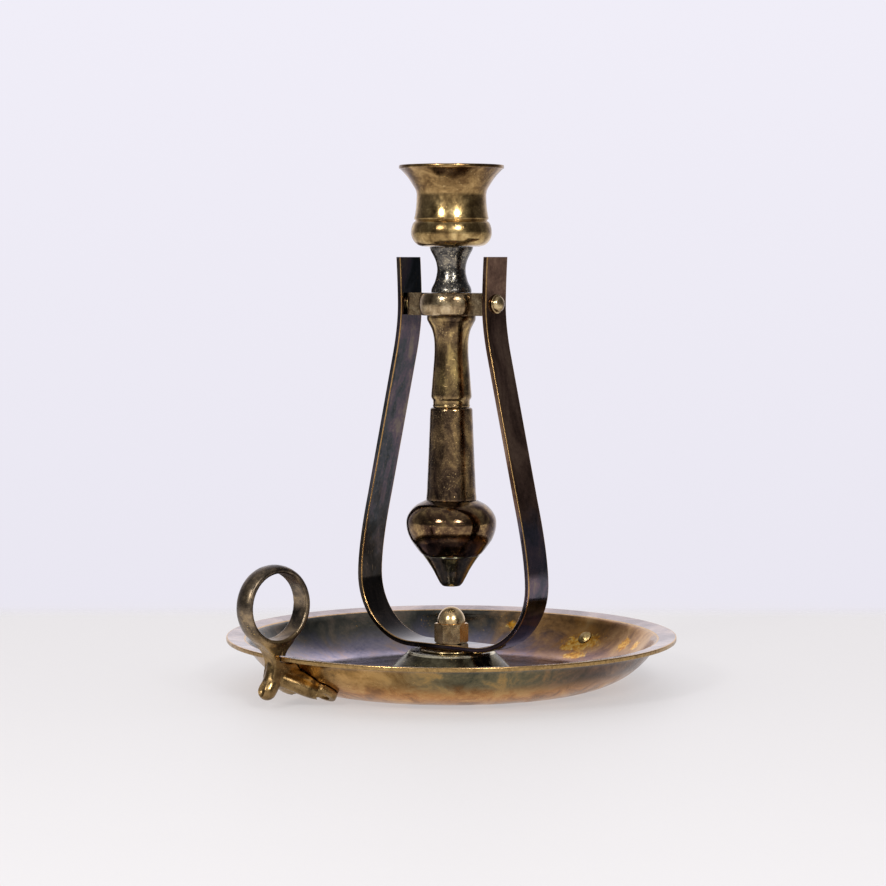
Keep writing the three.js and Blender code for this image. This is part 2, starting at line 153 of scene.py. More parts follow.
# ------------------------------------------------------------------ pieces
def finished(name, bm, materials, body, stands_for, sharp=35):
    """Turns a bmesh in millimetres into a smooth piece that rides a body in place of CAD nodes."""
    bmesh.ops.remove_doubles(bm, verts=bm.verts, dist=1e-4)
    bmesh.ops.recalc_face_normals(bm, faces=bm.faces)
    bmesh.ops.scale(bm, vec=(MM, MM, MM), verts=bm.verts)
    mesh = bpy.data.meshes.new(name)
    bm.to_mesh(mesh)
    bm.free()
    piece = bpy.data.objects.new(name, mesh)
    bpy.context.scene.collection.objects.link(piece)
    for material in materials:
        mesh.materials.append(material)
    for face in mesh.polygons:
        face.use_smooth = True
    mesh.set_sharp_from_angle(angle=math.radians(sharp))
    weigh = piece.modifiers.new("even shading", "WEIGHTED_NORMAL")
    weigh.keep_sharp = True
    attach(piece, body)
    if stands_for:
        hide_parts(*stands_for)
    return piece


def lathe_mesh(outline, segments=ROUND, closed=None):
    """A bmesh of the outline of (radius, height) turned about Z."""
    bm = bmesh.new()
    on_axis = outline[0][0] < 1e-6 and outline[-1][0] < 1e-6
    rings = []
    for radius, height in outline:
        if radius < 1e-6:
            rings.append([bm.verts.new((0, 0, height))] * segments)
            continue
        ring = []
        for i in range(segments):
            a = 2 * math.pi * i / segments
            ring.append(bm.verts.new((radius * math.cos(a), radius * math.sin(a), height)))
        rings.append(ring)
    if not on_axis:
        rings.append(rings[0])
    for lower, upper in zip(rings, rings[1:]):
        for i in range(segments):
            k = (i + 1) % segments
            corners = []
            for vert in (lower[i], lower[k], upper[k], upper[i]):
                if vert not in corners:
                    corners.append(vert)
            if len(corners) > 2:
                bm.faces.new(corners)
    return bm


def lifted(outline, height):
    return [(p[0], p[1] + height, *p[2:]) for p in outline]


def bead(radius, height, half, bulge):
    """The rounded section of a raised ring, from its lower edge to its upper edge."""
    return [(radius + bulge * math.sin(math.pi * i / 6), height - half + half * i / 3) for i in range(7)]


def moved(bm, matrix):
    bmesh.ops.transform(bm, matrix=matrix, verts=bm.verts)
    return bm


def joined(*parts):
    """One bmesh holding all of them, which aren't merged."""
    whole = bmesh.new()
    for part in parts:
        mesh = bpy.data.meshes.new("part")
        part.to_mesh(mesh)
        part.free()
        whole.from_mesh(mesh)
        bpy.data.meshes.remove(mesh)
    return whole


def paint(piece, index, chosen):
    """Gives the faces that the test picks another material of the piece. Centres are in millimetres."""
    for face in piece.data.polygons:
        if chosen(face.center / MM, face.normal):
            face.material_index = index


def carved(bm, tool, operation):
    """The bmesh joined with, or cut by, another one, by an exact boolean. Both are used up."""
    objects = []
    for source in (bm, tool):
        mesh = bpy.data.meshes.new("boolean")
        bmesh.ops.remove_doubles(source, verts=source.verts, dist=1e-4)
        bmesh.ops.recalc_face_normals(source, faces=source.faces)
        source.to_mesh(mesh)
        source.free()
        objects.append(bpy.data.objects.new("boolean", mesh))
        bpy.context.scene.collection.objects.link(objects[-1])
    step = objects[0].modifiers.new("boolean", "BOOLEAN")
    step.operation = operation
    step.solver = "EXACT"
    step.object = objects[1]
    return taken(objects[0], objects)


def taken(piece, spent):
    """The piece's mesh after its modifiers as a bmesh; the spent objects are removed."""
    bpy.context.view_layer.update()
    result = bmesh.new()
    evaluated = piece.evaluated_get(bpy.context.evaluated_depsgraph_get())
    result.from_mesh(evaluated.to_mesh())
    evaluated.to_mesh_clear()
    for thing in spent:
        mesh = thing.data
        bpy.data.objects.remove(thing)
        bpy.data.meshes.remove(mesh)
    return result


def cast(bm, voxel, rounds):
    """The parts melted into one skin with soft edges, as a sand casting has."""
    mesh = bpy.data.meshes.new("cast")
    bm.to_mesh(mesh)
    bm.free()
    piece = bpy.data.objects.new("cast", mesh)
    bpy.context.scene.collection.objects.link(piece)
    melt = piece.modifiers.new("melt", "REMESH")
    melt.mode = "VOXEL"
    melt.voxel_size = voxel
    smooth = piece.modifiers.new("smooth", "SMOOTH")
    smooth.factor = 0.5
    smooth.iterations = rounds
    return taken(piece, [piece])


def edged(piece, width, segments=2, angle=30):
    """Narrow rounds along the sharp edges of a piece, before its even shading."""
    bevel = piece.modifiers.new("edges", "BEVEL")
    bevel.width = width * MM
    bevel.segments = segments
    bevel.limit_method = "ANGLE"
    bevel.angle_limit = math.radians(angle)
    bevel.use_clamp_overlap = True
    piece.modifiers.move(len(piece.modifiers) - 1, 0)


def drum(radius, bottom, top, segments=48):
    return lathe_mesh([(0, bottom), (radius, bottom), (radius, top), (0, top)], segments)


def capsule(start, end, radius, squash=(1, 1), sides=20):
    """A round-ended bar; squash narrows its section across and along its own third axis."""
    start, end = Vector(start), Vector(end)
    length = (end - start).length
    outline = arc(0, 0, radius, -90, 0, 6) + [(x, y + length) for x, y in arc(0, 0, radius, 0, 90, 6)]
    outline[0], outline[-1] = (0, outline[0][1]), (0, outline[-1][1])
    bm = lathe_mesh(outline, sides)
    bmesh.ops.scale(bm, vec=(squash[0], squash[1], 1), verts=bm.verts)
    turn = (end - start).to_track_quat("Z", "Y").to_matrix().to_4x4()
    return moved(bm, Matrix.Translation(start) @ turn)


def chain(points, radii, squash=(1, 1)):
    """Round-ended bars from point to point, each with its own radius."""
    return joined(*[capsule(a, b, r, squash) for a, b, r in zip(points, points[1:], radii)])


def block(low_corner, high_corner):
    bm = bmesh.new()
    bmesh.ops.create_cube(bm, size=1)
    low_corner, high_corner = Vector(low_corner), Vector(high_corner)
    bmesh.ops.scale(bm, vec=high_corner - low_corner, verts=bm.verts)
    bmesh.ops.translate(bm, vec=(low_corner + high_corner) / 2, verts=bm.verts)
    return bm


def plate(outline, width):
    """A flat plate: the outline in the XZ plane, made thick evenly to both sides of Y = 0."""
    bm = bmesh.new()
    front = [bm.verts.new((x, -width / 2, z)) for x, z in outline]
    back = [bm.verts.new((x, width / 2, z)) for x, z in outline]
    bm.faces.new(front)
    bm.faces.new(back[::-1])
    for i in range(len(outline)):
        k = (i + 1) % len(outline)
        bm.faces.new((front[k], front[i], back[i], back[k]))
    return bm


# ------------------------------------------------------------------ materials
class Surface:
    """Short names for the nodes of one metal surface. Lengths in it are millimetres of the object."""

    def __init__(self, name):
        self.material = bpy.data.materials.new(name)
        self.material.use_nodes = True
        self.tree = self.material.node_tree
        self.shader = self.tree.nodes["Principled BSDF"]
        self.shader.inputs["Metallic"].default_value = 1.0
        place = self.node("ShaderNodeTexCoord")
        self.place = self.scaled(place.outputs["Object"], (1000, 1000, 1000))

    def node(self, kind, **values):
        made = self.tree.nodes.new(kind)
        for key, value in values.items():
            setattr(made, key, value)
        return made

    def link(self, source, target):
        self.tree.links.new(source, target)

    def scaled(self, source, amounts):
        made = self.node("ShaderNodeVectorMath", operation="MULTIPLY")
        self.link(source, made.inputs[0])
        made.inputs[1].default_value = amounts
        return made.outputs[0]

    def math(self, operation, a, b=None, clamp=False):
        made = self.node("ShaderNodeMath", operation=operation, use_clamp=clamp)
        for socket, value in zip(made.inputs, (a, b)):
            if value is None:
                continue
            if isinstance(value, (int, float)):
                socket.default_value = value
            else:
                self.link(value, socket)
        return made.outputs[0]

    def noise(self, size, detail=4, rough=0.55, warp=0.0, stretch=(1, 1, 1), seed=0.0):
        """Cloudy noise from about 0.3 to 0.7, with blotches of that size in millimetres."""
        made = self.node("ShaderNodeTexNoise")
        shift = self.node("ShaderNodeVectorMath", operation="ADD")
        self.link(self.scaled(self.place, stretch), shift.inputs[0])
        shift.inputs[1].default_value = (seed * 17.3, seed * 5.9, seed * 11.1)
        self.link(shift.outputs[0], made.inputs["Vector"])
        made.inputs["Scale"].default_value = 1 / size
        made.inputs["Detail"].default_value = detail
        made.inputs["Roughness"].default_value = rough
        made.inputs["Distortion"].default_value = warp
        return made.outputs["Fac"]

    def rings(self, size, seed=0.0, wander=0.15):
        """Noise that changes mostly with height: the marks left by turning on a lathe."""
        return self.noise(size, 3, 0.6, 0, (wander, wander, 4.0), seed)

    def ramp(self, source, stops, ease="LINEAR"):
        made = self.node("ShaderNodeValToRGB")
        made.color_ramp.interpolation = ease
        elements = made.color_ramp.elements
        while len(elements) < len(stops):
            elements.new(0.5)
        for element, (position, colour) in zip(elements, stops):
            element.position = position
            element.color = (*colour, 1) if len(colour) == 3 else colour
        self.link(source, made.inputs[0])
        return made.outputs[0]

    def band(self, source, low_value, high_value, low_out=0.0, high_out=1.0):
        made = self.node("ShaderNodeMapRange", interpolation_type="SMOOTHSTEP")
        self.link(source, made.inputs["Value"])
        for key, value in zip(("From Min", "From Max", "To Min", "To Max"),
                              (low_value, high_value, low_out, high_out)):
            made.inputs[key].default_value = value
        return made.outputs[0]

    def mix(self, factor, a, b):
        made = self.node("ShaderNodeMix", data_type="RGBA")
        if isinstance(factor, (int, float)):
            made.inputs["Factor"].default_value = factor
        else:
            self.link(factor, made.inputs["Factor"])
        for socket, value in ((made.inputs["A"], a), (made.inputs["B"], b)):
            if isinstance(value, tuple):
                socket.default_value = (*value, 1)
            else:
                self.link(value, socket)
        return made.outputs["Result"]

    def mixed(self, factor, a, b):
        made = self.node("ShaderNodeMix", data_type="FLOAT")
        self.link(factor, made.inputs["Factor"])
        for socket, value in ((made.inputs["A"], a), (made.inputs["B"], b)):
            if isinstance(value, (int, float)):
                socket.default_value = value
            else:
                self.link(value, socket)
        return made.outputs["Result"]

    def along(self, direction):
        """How far a point lies along a direction from the axis, in millimetres."""
        made = self.node("ShaderNodeVectorMath", operation="DOT_PRODUCT")
        self.link(self.place, made.inputs[0])
        made.inputs[1].default_value = direction
        return made.outputs["Value"]

    def part(self, axis):
        made = self.node("ShaderNodeSeparateXYZ")
        self.link(self.place, made.inputs[0])
        return made.outputs[axis]

    def near(self, point, radius, soft, stretch=(1, 1, 1)):
        """1 close to a point of the object, 0 beyond the radius, with a ragged border."""
        shift = self.node("ShaderNodeVectorMath", operation="SUBTRACT")
        self.link(self.place, shift.inputs[0])
        shift.inputs[1].default_value = point
        away = self.node("ShaderNodeVectorMath", operation="LENGTH")
        self.link(self.scaled(shift.outputs[0], stretch), away.inputs[0])
        ragged = self.math("SUBTRACT", self.noise(radius * 0.6, 7, 0.72, 0.6, seed=radius), 0.5)
        reach = self.math("ADD", away.outputs["Value"], self.math("MULTIPLY", ragged, radius * 2.6))
        return self.band(reach, radius, radius - soft)

    def done(self, colour, roughness, height, strength=0.2, depth=0.05):
        """Joins colour, roughness and bump height (in hundredths of its depth) to the shader."""
        bump = self.node("ShaderNodeBump")
        bump.inputs["Strength"].default_value = strength
        bump.inputs["Distance"].default_value = depth * MM
        self.link(height, bump.inputs["Height"])
        self.link(bump.outputs["Normal"], self.shader.inputs["Normal"])
        self.link(colour, self.shader.inputs["Base Color"])
        self.link(roughness, self.shader.inputs["Roughness"])
        return self.material


def aged_brass(name, tones, cloud=9.0, gloss=(0.16, 0.34), specks=0.25, speck_colour=(0.75, 0.55, 0.26),
               turned=0.35, pits=0.2, seed=0.0, patches=(), fade=None, stretch=(1, 1, 1)):
    """Tarnished brass. tones go from the darkest clouds to the barest metal; patches are worn places as
    (point, radius) in millimetres; fade is a second set of tones with the heights it comes in between."""
    s = Surface(name)
    cloud_noise = s.noise(cloud, 6, 0.62, 0.6, stretch, seed)
    fine = s.noise(cloud * 0.13, 5, 0.7, 0.3, seed=seed + 2)
    ring = s.rings(0.7, seed)
    blend = s.math("ADD", cloud_noise, s.math("MULTIPLY", s.math("SUBTRACT", fine, 0.5), 0.26))
    blend = s.math("ADD", blend, s.math("MULTIPLY", s.math("SUBTRACT", ring, 0.5), 0.3 * turned))
    places = [0.32 + 0.36 * i / (len(tones) - 1) for i in range(len(tones))]
    colour = s.ramp(blend, list(zip(places, tones)), "B_SPLINE")
    if fade:
        other, start, end = fade
        places = [0.32 + 0.36 * i / (len(other) - 1) for i in range(len(other))]
        second = s.ramp(blend, list(zip(places, other)), "B_SPLINE")
        wavy = s.math("ADD", s.part("Z"), s.math("MULTIPLY", s.math("SUBTRACT", cloud_noise, 0.5), 5.0))
        colour = s.mix(s.band(wavy, start, end), colour, second)
    for point, radius in patches:
        bright = s.near(point, radius, radius * 0.45)
        colour = s.mix(bright, colour, speck_colour)
    if specks:
        dots = s.noise(0.55, 3, 0.6, 0, seed=seed + 5)
        area = s.noise(6.0, 3, 0.5, 0, seed=seed + 7)
        chance = s.math("ADD", dots, s.math("MULTIPLY", area, 0.35))
        bright = s.band(chance, 0.9 - 0.16 * specks, 0.96 - 0.16 * specks)
        colour = s.mix(s.math("MULTIPLY", bright, 0.8), colour, speck_colour)
    roughness = s.band(s.noise(cloud * 0.5, 5, 0.65, 0.4, seed=seed + 3), 0.36, 0.66, gloss[0], gloss[1])
    roughness = s.math("ADD", roughness, s.math("MULTIPLY", s.math("SUBTRACT", fine, 0.5), 0.12))
    height = s.math("MULTIPLY", ring, turned)
    height = s.math("ADD", height, s.math("MULTIPLY", s.noise(0.9, 4, 0.6, seed=seed + 9), 0.5))
    pit = s.band(s.noise(0.5, 2, 0.5, seed=seed + 11), 0.34, 0.42)
    height = s.math("ADD", height, s.math("MULTIPLY", pit, pits * 2))
    return s.done(colour, roughness, height, 0.22, 0.06)


def rubbed_and_highlight_edge(name, bright, tarnish, share=0.6, seed=0.0):
    """A bright edge: bare metal broken by what is left of the tarnish. It serves rubbed edges and also painted
    highlight lines along edges.
    """
    s = Surface(name)
    breakup = s.noise(2.6, 6, 0.7, 0.5, seed=seed)
    bright_part = s.band(breakup, 0.62 - 0.3 * share, 0.72 - 0.3 * share)
    shade = s.mix(s.band(s.noise(1.1, 4, 0.6, seed=seed + 1), 0.35, 0.65), bright, tuple(0.72 * c for c in bright))
    colour = s.mix(bright_part, tarnish, shade)
    roughness = s.mixed(bright_part, 0.4, 0.24)
    return s.done(colour, roughness, s.noise(0.6, 4, 0.6, seed=seed + 2), 0.1, 0.03)


def three_tones(s, source, dark, middle, bright):
    return s.ramp(source, [(0.34, dark), (0.5, middle), (0.66, bright)])


def dish_metal():
    """Olive-black high on the far wall, blue-grey on one side and copper brown on the other; worn gold near
    the tab's rivet. The two sides are the camera's left and right, and the split is painted reflection: the
    blue-grey is a painted reflection, the copper brown is tarnish brightened by a painted soft-box reflection,
    and one gold patch is a painted reflection of the worn patch by the rivet."""
    s = Surface("dish_brass")
    away = s.node("ShaderNodeVectorMath", operation="LENGTH")
    s.link(s.scaled(s.place, (1, 1, 0)), away.inputs[0])
    reach = away.outputs["Value"]
    cloud = s.noise(14, 6, 0.62, 0.7, seed=1)
    fine = s.noise(1.7, 5, 0.7, 0.2, seed=2)
    blotch = s.math("ADD", cloud, s.math("MULTIPLY", s.math("SUBTRACT", fine, 0.5), 0.3))
    sway = s.math("MULTIPLY", s.math("SUBTRACT", cloud, 0.5), 60)
    # painted reflection: colours change from the camera's left to its right, blue-grey and olive on the left, copper
    # brown brightened in place of a soft-box reflection on the right
    painted_side = s.band(s.math("ADD", s.along(PAINTED_REFLECTION_SIDE), sway), 2, 42)
    cool = three_tones(s, blotch, (0.30, 0.28, 0.38), (0.50, 0.44, 0.53), (0.68, 0.50, 0.46))
    warm = three_tones(s, blotch, (0.17, 0.09, 0.085), (0.33, 0.18, 0.15), (0.5, 0.29, 0.19))
    low_wall = s.mix(painted_side, cool, warm)
    flat = three_tones(s, blotch, (0.10, 0.09, 0.13), (0.19, 0.17, 0.22), (0.30, 0.22, 0.22))
    floor = s.mix(s.band(reach, 44.5, 47.0), flat, low_wall)
    olive = three_tones(s, blotch, (0.05, 0.052, 0.045), (0.11, 0.105, 0.085), (0.24, 0.19, 0.14))
    copper = three_tones(s, blotch, (0.20, 0.10, 0.035), (0.42, 0.22, 0.08), (0.62, 0.37, 0.15))
    wall = s.mix(painted_side, olive, copper)
    flange = three_tones(s, blotch, (0.26, 0.20, 0.19), (0.42, 0.33, 0.31), (0.62, 0.48, 0.40))
    wavy = s.math("ADD", reach, s.math("MULTIPLY", s.math("SUBTRACT", cloud, 0.5), 14.0))
    colour = s.mix(s.band(wavy, 54, 66), floor, wall)
    colour = s.mix(s.band(reach, 69.2, 70.2), colour, flange)
    gold = s.ramp(fine, [(0.38, (0.55, 0.21, 0.01)), (0.52, (0.95, 0.47, 0.05)), (0.68, (1.0, 0.78, 0.3))])
    halo = s.near((12, 62, wall_height(63)), 13, 10)
    colour = s.mix(s.math("MULTIPLY", halo, 0.7), colour, (0.50, 0.23, 0.05))
    # worn gold patches round the tab's rivet; the one at 77.5 degrees, 56.2 mm out, is a painted reflection of the
    # patch above it in the polished wall
    for angle, patch_reach, radius, stretch in (
            (78.9, 62.5, 4.4, (0.5, 1, 0.6)), (77.5, 56.2, 2.8, (0.55, 1, 0.6)), (84, 59.5, 2.0, (0.6, 1, 0.6)),
            (59, 64.5, 3.4, (1, 1, 1)), (51, 65.5, 2.7, (1, 1, 1)), (108, 66, 2.0, (0.6, 1, 1))):
        a = math.radians(angle)
        place = (patch_reach * math.cos(a), patch_reach * math.sin(a), wall_height(patch_reach) + SHEET)
        colour = s.mix(s.near(place, radius, radius * 0.4, stretch), colour, gold)
    dots = s.math("ADD", s.noise(0.6, 3, 0.6, seed=5), s.math("MULTIPLY", s.noise(9, 3, 0.5, seed=7), 0.4))
    colour = s.mix(s.math("MULTIPLY", s.band(dots, 0.86, 0.95), 0.45), colour, gold)
    spun = s.node("ShaderNodeTexNoise", noise_dimensions="1D")
    s.link(s.math("MULTIPLY", reach, 1.6), spun.inputs["W"])
    spun.inputs["Detail"].default_value = 3
    roughness = s.band(s.noise(8, 5, 0.6, 0.4, seed=3), 0.36, 0.64, 0.1, 0.2)
    height = s.math("ADD", s.math("MULTIPLY", spun.outputs["Fac"], 0.6), s.noise(1.0, 4, 0.6, seed=9))
    return s.done(colour, roughness, height, 0.12, 0.05)


def dish_outside_metal():
    """Copper orange at the foot, gold brown above it on one side, olive in the middle, brown on the other. The sides
    are the camera's left and right and the split is painted reflection; the brown is a painted reflection of the table.
    """
    s = Surface("dish_brass_outside")
    blotch = s.math("ADD", s.noise(10, 6, 0.62, 0.7, seed=21),
                    s.math("MULTIPLY", s.math("SUBTRACT", s.noise(1.4, 5, 0.7, seed=22), 0.5), 0.3))
    foot = three_tones(s, blotch, (0.26, 0.11, 0.022), (0.55, 0.25, 0.055), (0.78, 0.44, 0.13))
    olive = three_tones(s, blotch, (0.07, 0.07, 0.045), (0.175, 0.15, 0.085), (0.42, 0.27, 0.10))
    golden = three_tones(s, blotch, (0.17, 0.095, 0.03), (0.38, 0.215, 0.065), (0.62, 0.37, 0.13))
    brown = three_tones(s, blotch, (0.06, 0.036, 0.027), (0.13, 0.078, 0.053), (0.27, 0.155, 0.085))
    # painted reflection: gold brown on the camera's left, olive in the middle, brown on its right as the mirrored table
    side = s.math("ADD", s.along(PAINTED_REFLECTION_SIDE), s.math("MULTIPLY", s.math("SUBTRACT", blotch, 0.5), 50))
    upper = s.mix(s.band(side, -28, 0), golden, olive)
    upper = s.mix(s.band(side, 18, 48), upper, brown)
    wavy = s.math("ADD", s.part("Z"), s.math("MULTIPLY", s.math("SUBTRACT", blotch, 0.5), 8.0))
    colour = s.mix(s.band(wavy, 4.0, 9.5), foot, upper)
    roughness = s.band(s.noise(6, 5, 0.6, 0.4, seed=23), 0.36, 0.64, 0.14, 0.28)
    return s.done(colour, roughness, s.noise(0.9, 4, 0.6, seed=24), 0.2, 0.05)


def yoke_metal():
    """Bluish steel grey where the heat bloom is, red-brown and black elsewhere; polished."""
    s = Surface("yoke_brass")
    cloud = s.noise(11, 6, 0.6, 0.9, stretch=(1, 1, 0.45), seed=7)
    fine = s.noise(1.2, 5, 0.7, 0.2, seed=8)
    blotch = s.math("ADD", cloud, s.math("MULTIPLY", s.math("SUBTRACT", fine, 0.5), 0.3))
    brown = s.ramp(blotch, [(0.34, (0.07, 0.036, 0.024)), (0.5, (0.20, 0.115, 0.078)), (0.66, (0.36, 0.23, 0.15))])
    bloom = s.ramp(blotch, [(0.34, (0.045, 0.048, 0.055)), (0.46, (0.09, 0.085, 0.11)), (0.56, (0.15, 0.11, 0.135)),
                            (0.66, (0.22, 0.17, 0.15))])
    sway = s.math("MULTIPLY", s.math("SUBTRACT", s.noise(26, 4, 0.6, 0.5, seed=9), 0.5), 90)
    low_part = s.band(s.math("ADD", s.part("Z"), sway), 66, 44)
    left_part = s.band(s.math("ADD", s.part("X"), s.math("MULTIPLY", sway, 0.25)), 4, -8)
    colour = s.mix(low_part, brown, bloom)
    steel = s.ramp(blotch, [(0.34, (0.022, 0.026, 0.028)), (0.46, (0.055, 0.06, 0.068)), (0.56, (0.10, 0.075, 0.095)),
                            (0.66, (0.16, 0.13, 0.11))])
    black = s.ramp(blotch, [(0.34, (0.014, 0.012, 0.010)), (0.5, (0.032, 0.026, 0.022)), (0.66, (0.07, 0.055, 0.045))])
    colour = s.mix(left_part, colour, s.mix(low_part, steel, black))
    scratch = s.band(s.noise(0.5, 2, 0.5, 0, (2.5, 2.5, 0.12), seed=12), 0.66, 0.72)
    colour = s.mix(s.math("MULTIPLY", scratch, 0.35), colour, (0.55, 0.38, 0.2))
    roughness = s.band(s.noise(5, 5, 0.6, 0.4, seed=10), 0.36, 0.64, 0.05, 0.15)
    height = s.math("ADD", s.noise(1.0, 4, 0.6, seed=11), s.math("MULTIPLY", scratch, 0.6))
    return s.done(colour, roughness, height, 0.12, 0.04)


def cast_lead():
    s = Surface("slug_lead")
    colour = s.ramp(s.noise(3, 6, 0.6), [(0.35, (0.10, 0.10, 0.11)), (0.65, (0.26, 0.27, 0.29))])
    roughness = s.band(s.noise(1.2, 4, 0.6, seed=2), 0.3, 0.7, 0.5, 0.75)
    return s.done(colour, roughness, s.noise(0.8, 4, 0.6, seed=3), 0.5, 0.1)


# ------------------------------------------------------------------ metals of this candlestick
LIP = rubbed_and_highlight_edge("dish_lip", (0.44, 0.28, 0.11), (0.27, 0.165, 0.065), 0.8, 1)
# painted highlight: bright gold lines along the lip's top and the flange's inner edge, broken by tarnish
DISH_EDGE_HIGHLIGHT = rubbed_and_highlight_edge("dish_edge_highlight", (0.80, 0.50, 0.2), (0.55, 0.33, 0.14), 0.85, 15)
EDGE = rubbed_and_highlight_edge("yoke_edges", (0.60, 0.36, 0.14), (0.36, 0.21, 0.09), 1.0, 2)
# painted highlight: a near-white line round the cone's top edge
CONE_EDGE_HIGHLIGHT = rubbed_and_highlight_edge("cone_edge_highlight", (0.95, 0.86, 0.6), (0.4, 0.34, 0.2), 0.95, 3)
CONE = aged_brass("cone_brass", [(0.035, 0.028, 0.018), (0.09, 0.075, 0.042), (0.17, 0.15, 0.085), (0.3, 0.25, 0.15)],
                  7, (0.14, 0.28), 0.4, turned=0.5, seed=4)
NUT = aged_brass("nut_brass", [(0.60, 0.40, 0.19), (0.80, 0.57, 0.29), (0.92, 0.74, 0.44)],
                 4, (0.2, 0.32), 0.15, (0.95, 0.84, 0.6), turned=0.1, pits=0.15, seed=5)
FIXING = aged_brass("fixing_brass", [(0.16, 0.10, 0.045), (0.34, 0.24, 0.12), (0.54, 0.40, 0.2), (0.75, 0.6, 0.34)],
                    3, (0.14, 0.28), 0.5, turned=0.15, pits=0.3, seed=6)
RIVET = aged_brass("rivet_brass", [(0.22, 0.14, 0.05), (0.55, 0.38, 0.15), (0.85, 0.64, 0.3)],
                   1.6, (0.26, 0.4), 0.6, (0.95, 0.76, 0.4), turned=0, pits=0.8, seed=17)
YOKE = yoke_metal()
COLLAR = aged_brass("collar_brass", [(0.10, 0.065, 0.035), (0.26, 0.18, 0.10), (0.44, 0.32, 0.18), (0.68, 0.54, 0.34)],
                    4, (0.12, 0.24), 0.5, turned=0.3, pits=0.3, seed=8)
NECK = aged_brass("neck_brass", [(0.022, 0.021, 0.020), (0.07, 0.066, 0.062), (0.14, 0.13, 0.12), (0.34, 0.29, 0.21)],
                  3, (0.18, 0.34), 0.9, (0.66, 0.58, 0.42), turned=0.3, pits=0.9, seed=9)
CUP = aged_brass("socket_brass", [(0.12, 0.07, 0.026), (0.31, 0.20, 0.08), (0.52, 0.36, 0.15), (0.76, 0.56, 0.26)],
                 6, (0.13, 0.26), 0.35, (0.75, 0.56, 0.28), turned=0.4, seed=10,
                 fade=([(0.08, 0.04, 0.016), (0.20, 0.115, 0.045), (0.36, 0.225, 0.09), (0.56, 0.37, 0.16)], 159, 167))
UPPER_STEM = aged_brass("upper_stem_brass", [(0.038, 0.024, 0.017), (0.135, 0.086, 0.047), (0.36, 0.245, 0.11),
                                             (0.75, 0.53, 0.21)],
                        5, (0.12, 0.25), 0.5, (0.75, 0.55, 0.26), turned=0.5, pits=0.35, seed=11,
                        stretch=(1, 1, 0.45))
STEM = aged_brass("stem_brass", [(0.032, 0.020, 0.015), (0.10, 0.063, 0.040), (0.24, 0.155, 0.078), (0.58, 0.38, 0.16)],
                  5, (0.14, 0.28), 0.6, (0.7, 0.5, 0.24), turned=0.5, pits=0.4, seed=16,
                  stretch=(1, 1, 0.45))
# painted shade: below 48 to 50.5 mm the bob takes the darker second set of tones, the dark lower half under its bright
# band
BOB_METAL = aged_brass("bob_brass", [(0.034, 0.016, 0.012), (0.092, 0.050, 0.031), (0.215, 0.134, 0.066), (0.55, 0.37, 0.16)],
                       6, (0.07, 0.15), 0.5, (0.78, 0.52, 0.22), turned=0.25, seed=12,
                       fade=([(0.03, 0.018, 0.014), (0.07, 0.045, 0.032), (0.14, 0.085, 0.055), (0.26, 0.17, 0.1)], 50.5, 48))
FINIAL_METAL = aged_brass("finial_brass", [(0.10, 0.105, 0.085), (0.25, 0.255, 0.19), (0.4, 0.37, 0.25),
                                           (0.6, 0.5, 0.3)],
                          4, (0.1, 0.2), 0.4, (0.5, 0.36, 0.16), turned=0.4, seed=13)
LEAD = cast_lead()


def wall_height(reach):
    """The height of the outside of the dish's curved wall at a distance from the axis."""
    return BEND_RADIUS - math.sqrt(BEND_RADIUS**2 - (reach - FLOOR_RADIUS) ** 2)


def wall_place(angle, reach):
    """A frame on the outside of the dish's wall, with +Z out of the wall."""
    lean = math.acos((reach - FLOOR_RADIUS) / BEND_RADIUS)
    turn = Matrix.Rotation(angle, 4, "Z")
    shift = Matrix.Translation((reach, 0, wall_height(reach)))
    return turn @ shift @ Matrix.Rotation(math.pi / 2 + lean, 4, "Y")


def dish_outline(grow=0.0, hole=None):
    """The dish's section, grown all round by a distance, from the edge of a hole in its floor."""
    outer = BEND_RADIUS + grow
    inner = BEND_RADIUS - SHEET - grow
    outer_end = math.degrees(math.asin((WALL_TOP - BEND_RADIUS) / outer))
    inner_end = math.degrees(math.asin((WALL_TOP + 1.7 - BEND_RADIUS) / inner))
    edge = DISH_RADIUS + grow
    top = LIP_HEIGHT + grow
    return softened([
        *(hole or [(3.3, SHEET), (5.7, 0)]),
        *arc(FLOOR_RADIUS, BEND_RADIUS, outer, -90, outer_end, 24),
        (FLANGE_INNER + 0.6, FLANGE_HEIGHT - SHEET + 0.1 - grow, 0.6),
        (edge, top - SHEET - 2 * grow, 0.45),
        (edge, top, 0.45),
        (FLANGE_INNER - 0.1, FLANGE_HEIGHT + grow, 0.9),
        *arc(FLOOR_RADIUS, BEND_RADIUS, inner, inner_end, -90, 24),
    ], steps=4)


def drip_dish():
    dish = finished("drip_dish_shell", lathe_mesh(dish_outline(), 192),
                    [dish_metal(), LIP, dish_outside_metal(), DISH_EDGE_HIGHLIGHT], "base", ["drip_dish"])
    paint(dish, 2, lambda c, n: n.z < -0.05)
    paint(dish, 1, lambda c, n: math.hypot(c.x, c.y) > DISH_RADIUS - 0.36)
    # painted highlight lines: the lip's top faces and the flange's rounded inner edge
    paint(dish, 3, lambda c, n: math.hypot(c.x, c.y) > DISH_RADIUS - 0.36 and n.z > 0.5)
    paint(dish, 3, lambda c, n: abs(math.hypot(c.x, c.y) - FLANGE_INNER + 0.1) < 0.3 and n.z > 0)
    return dish


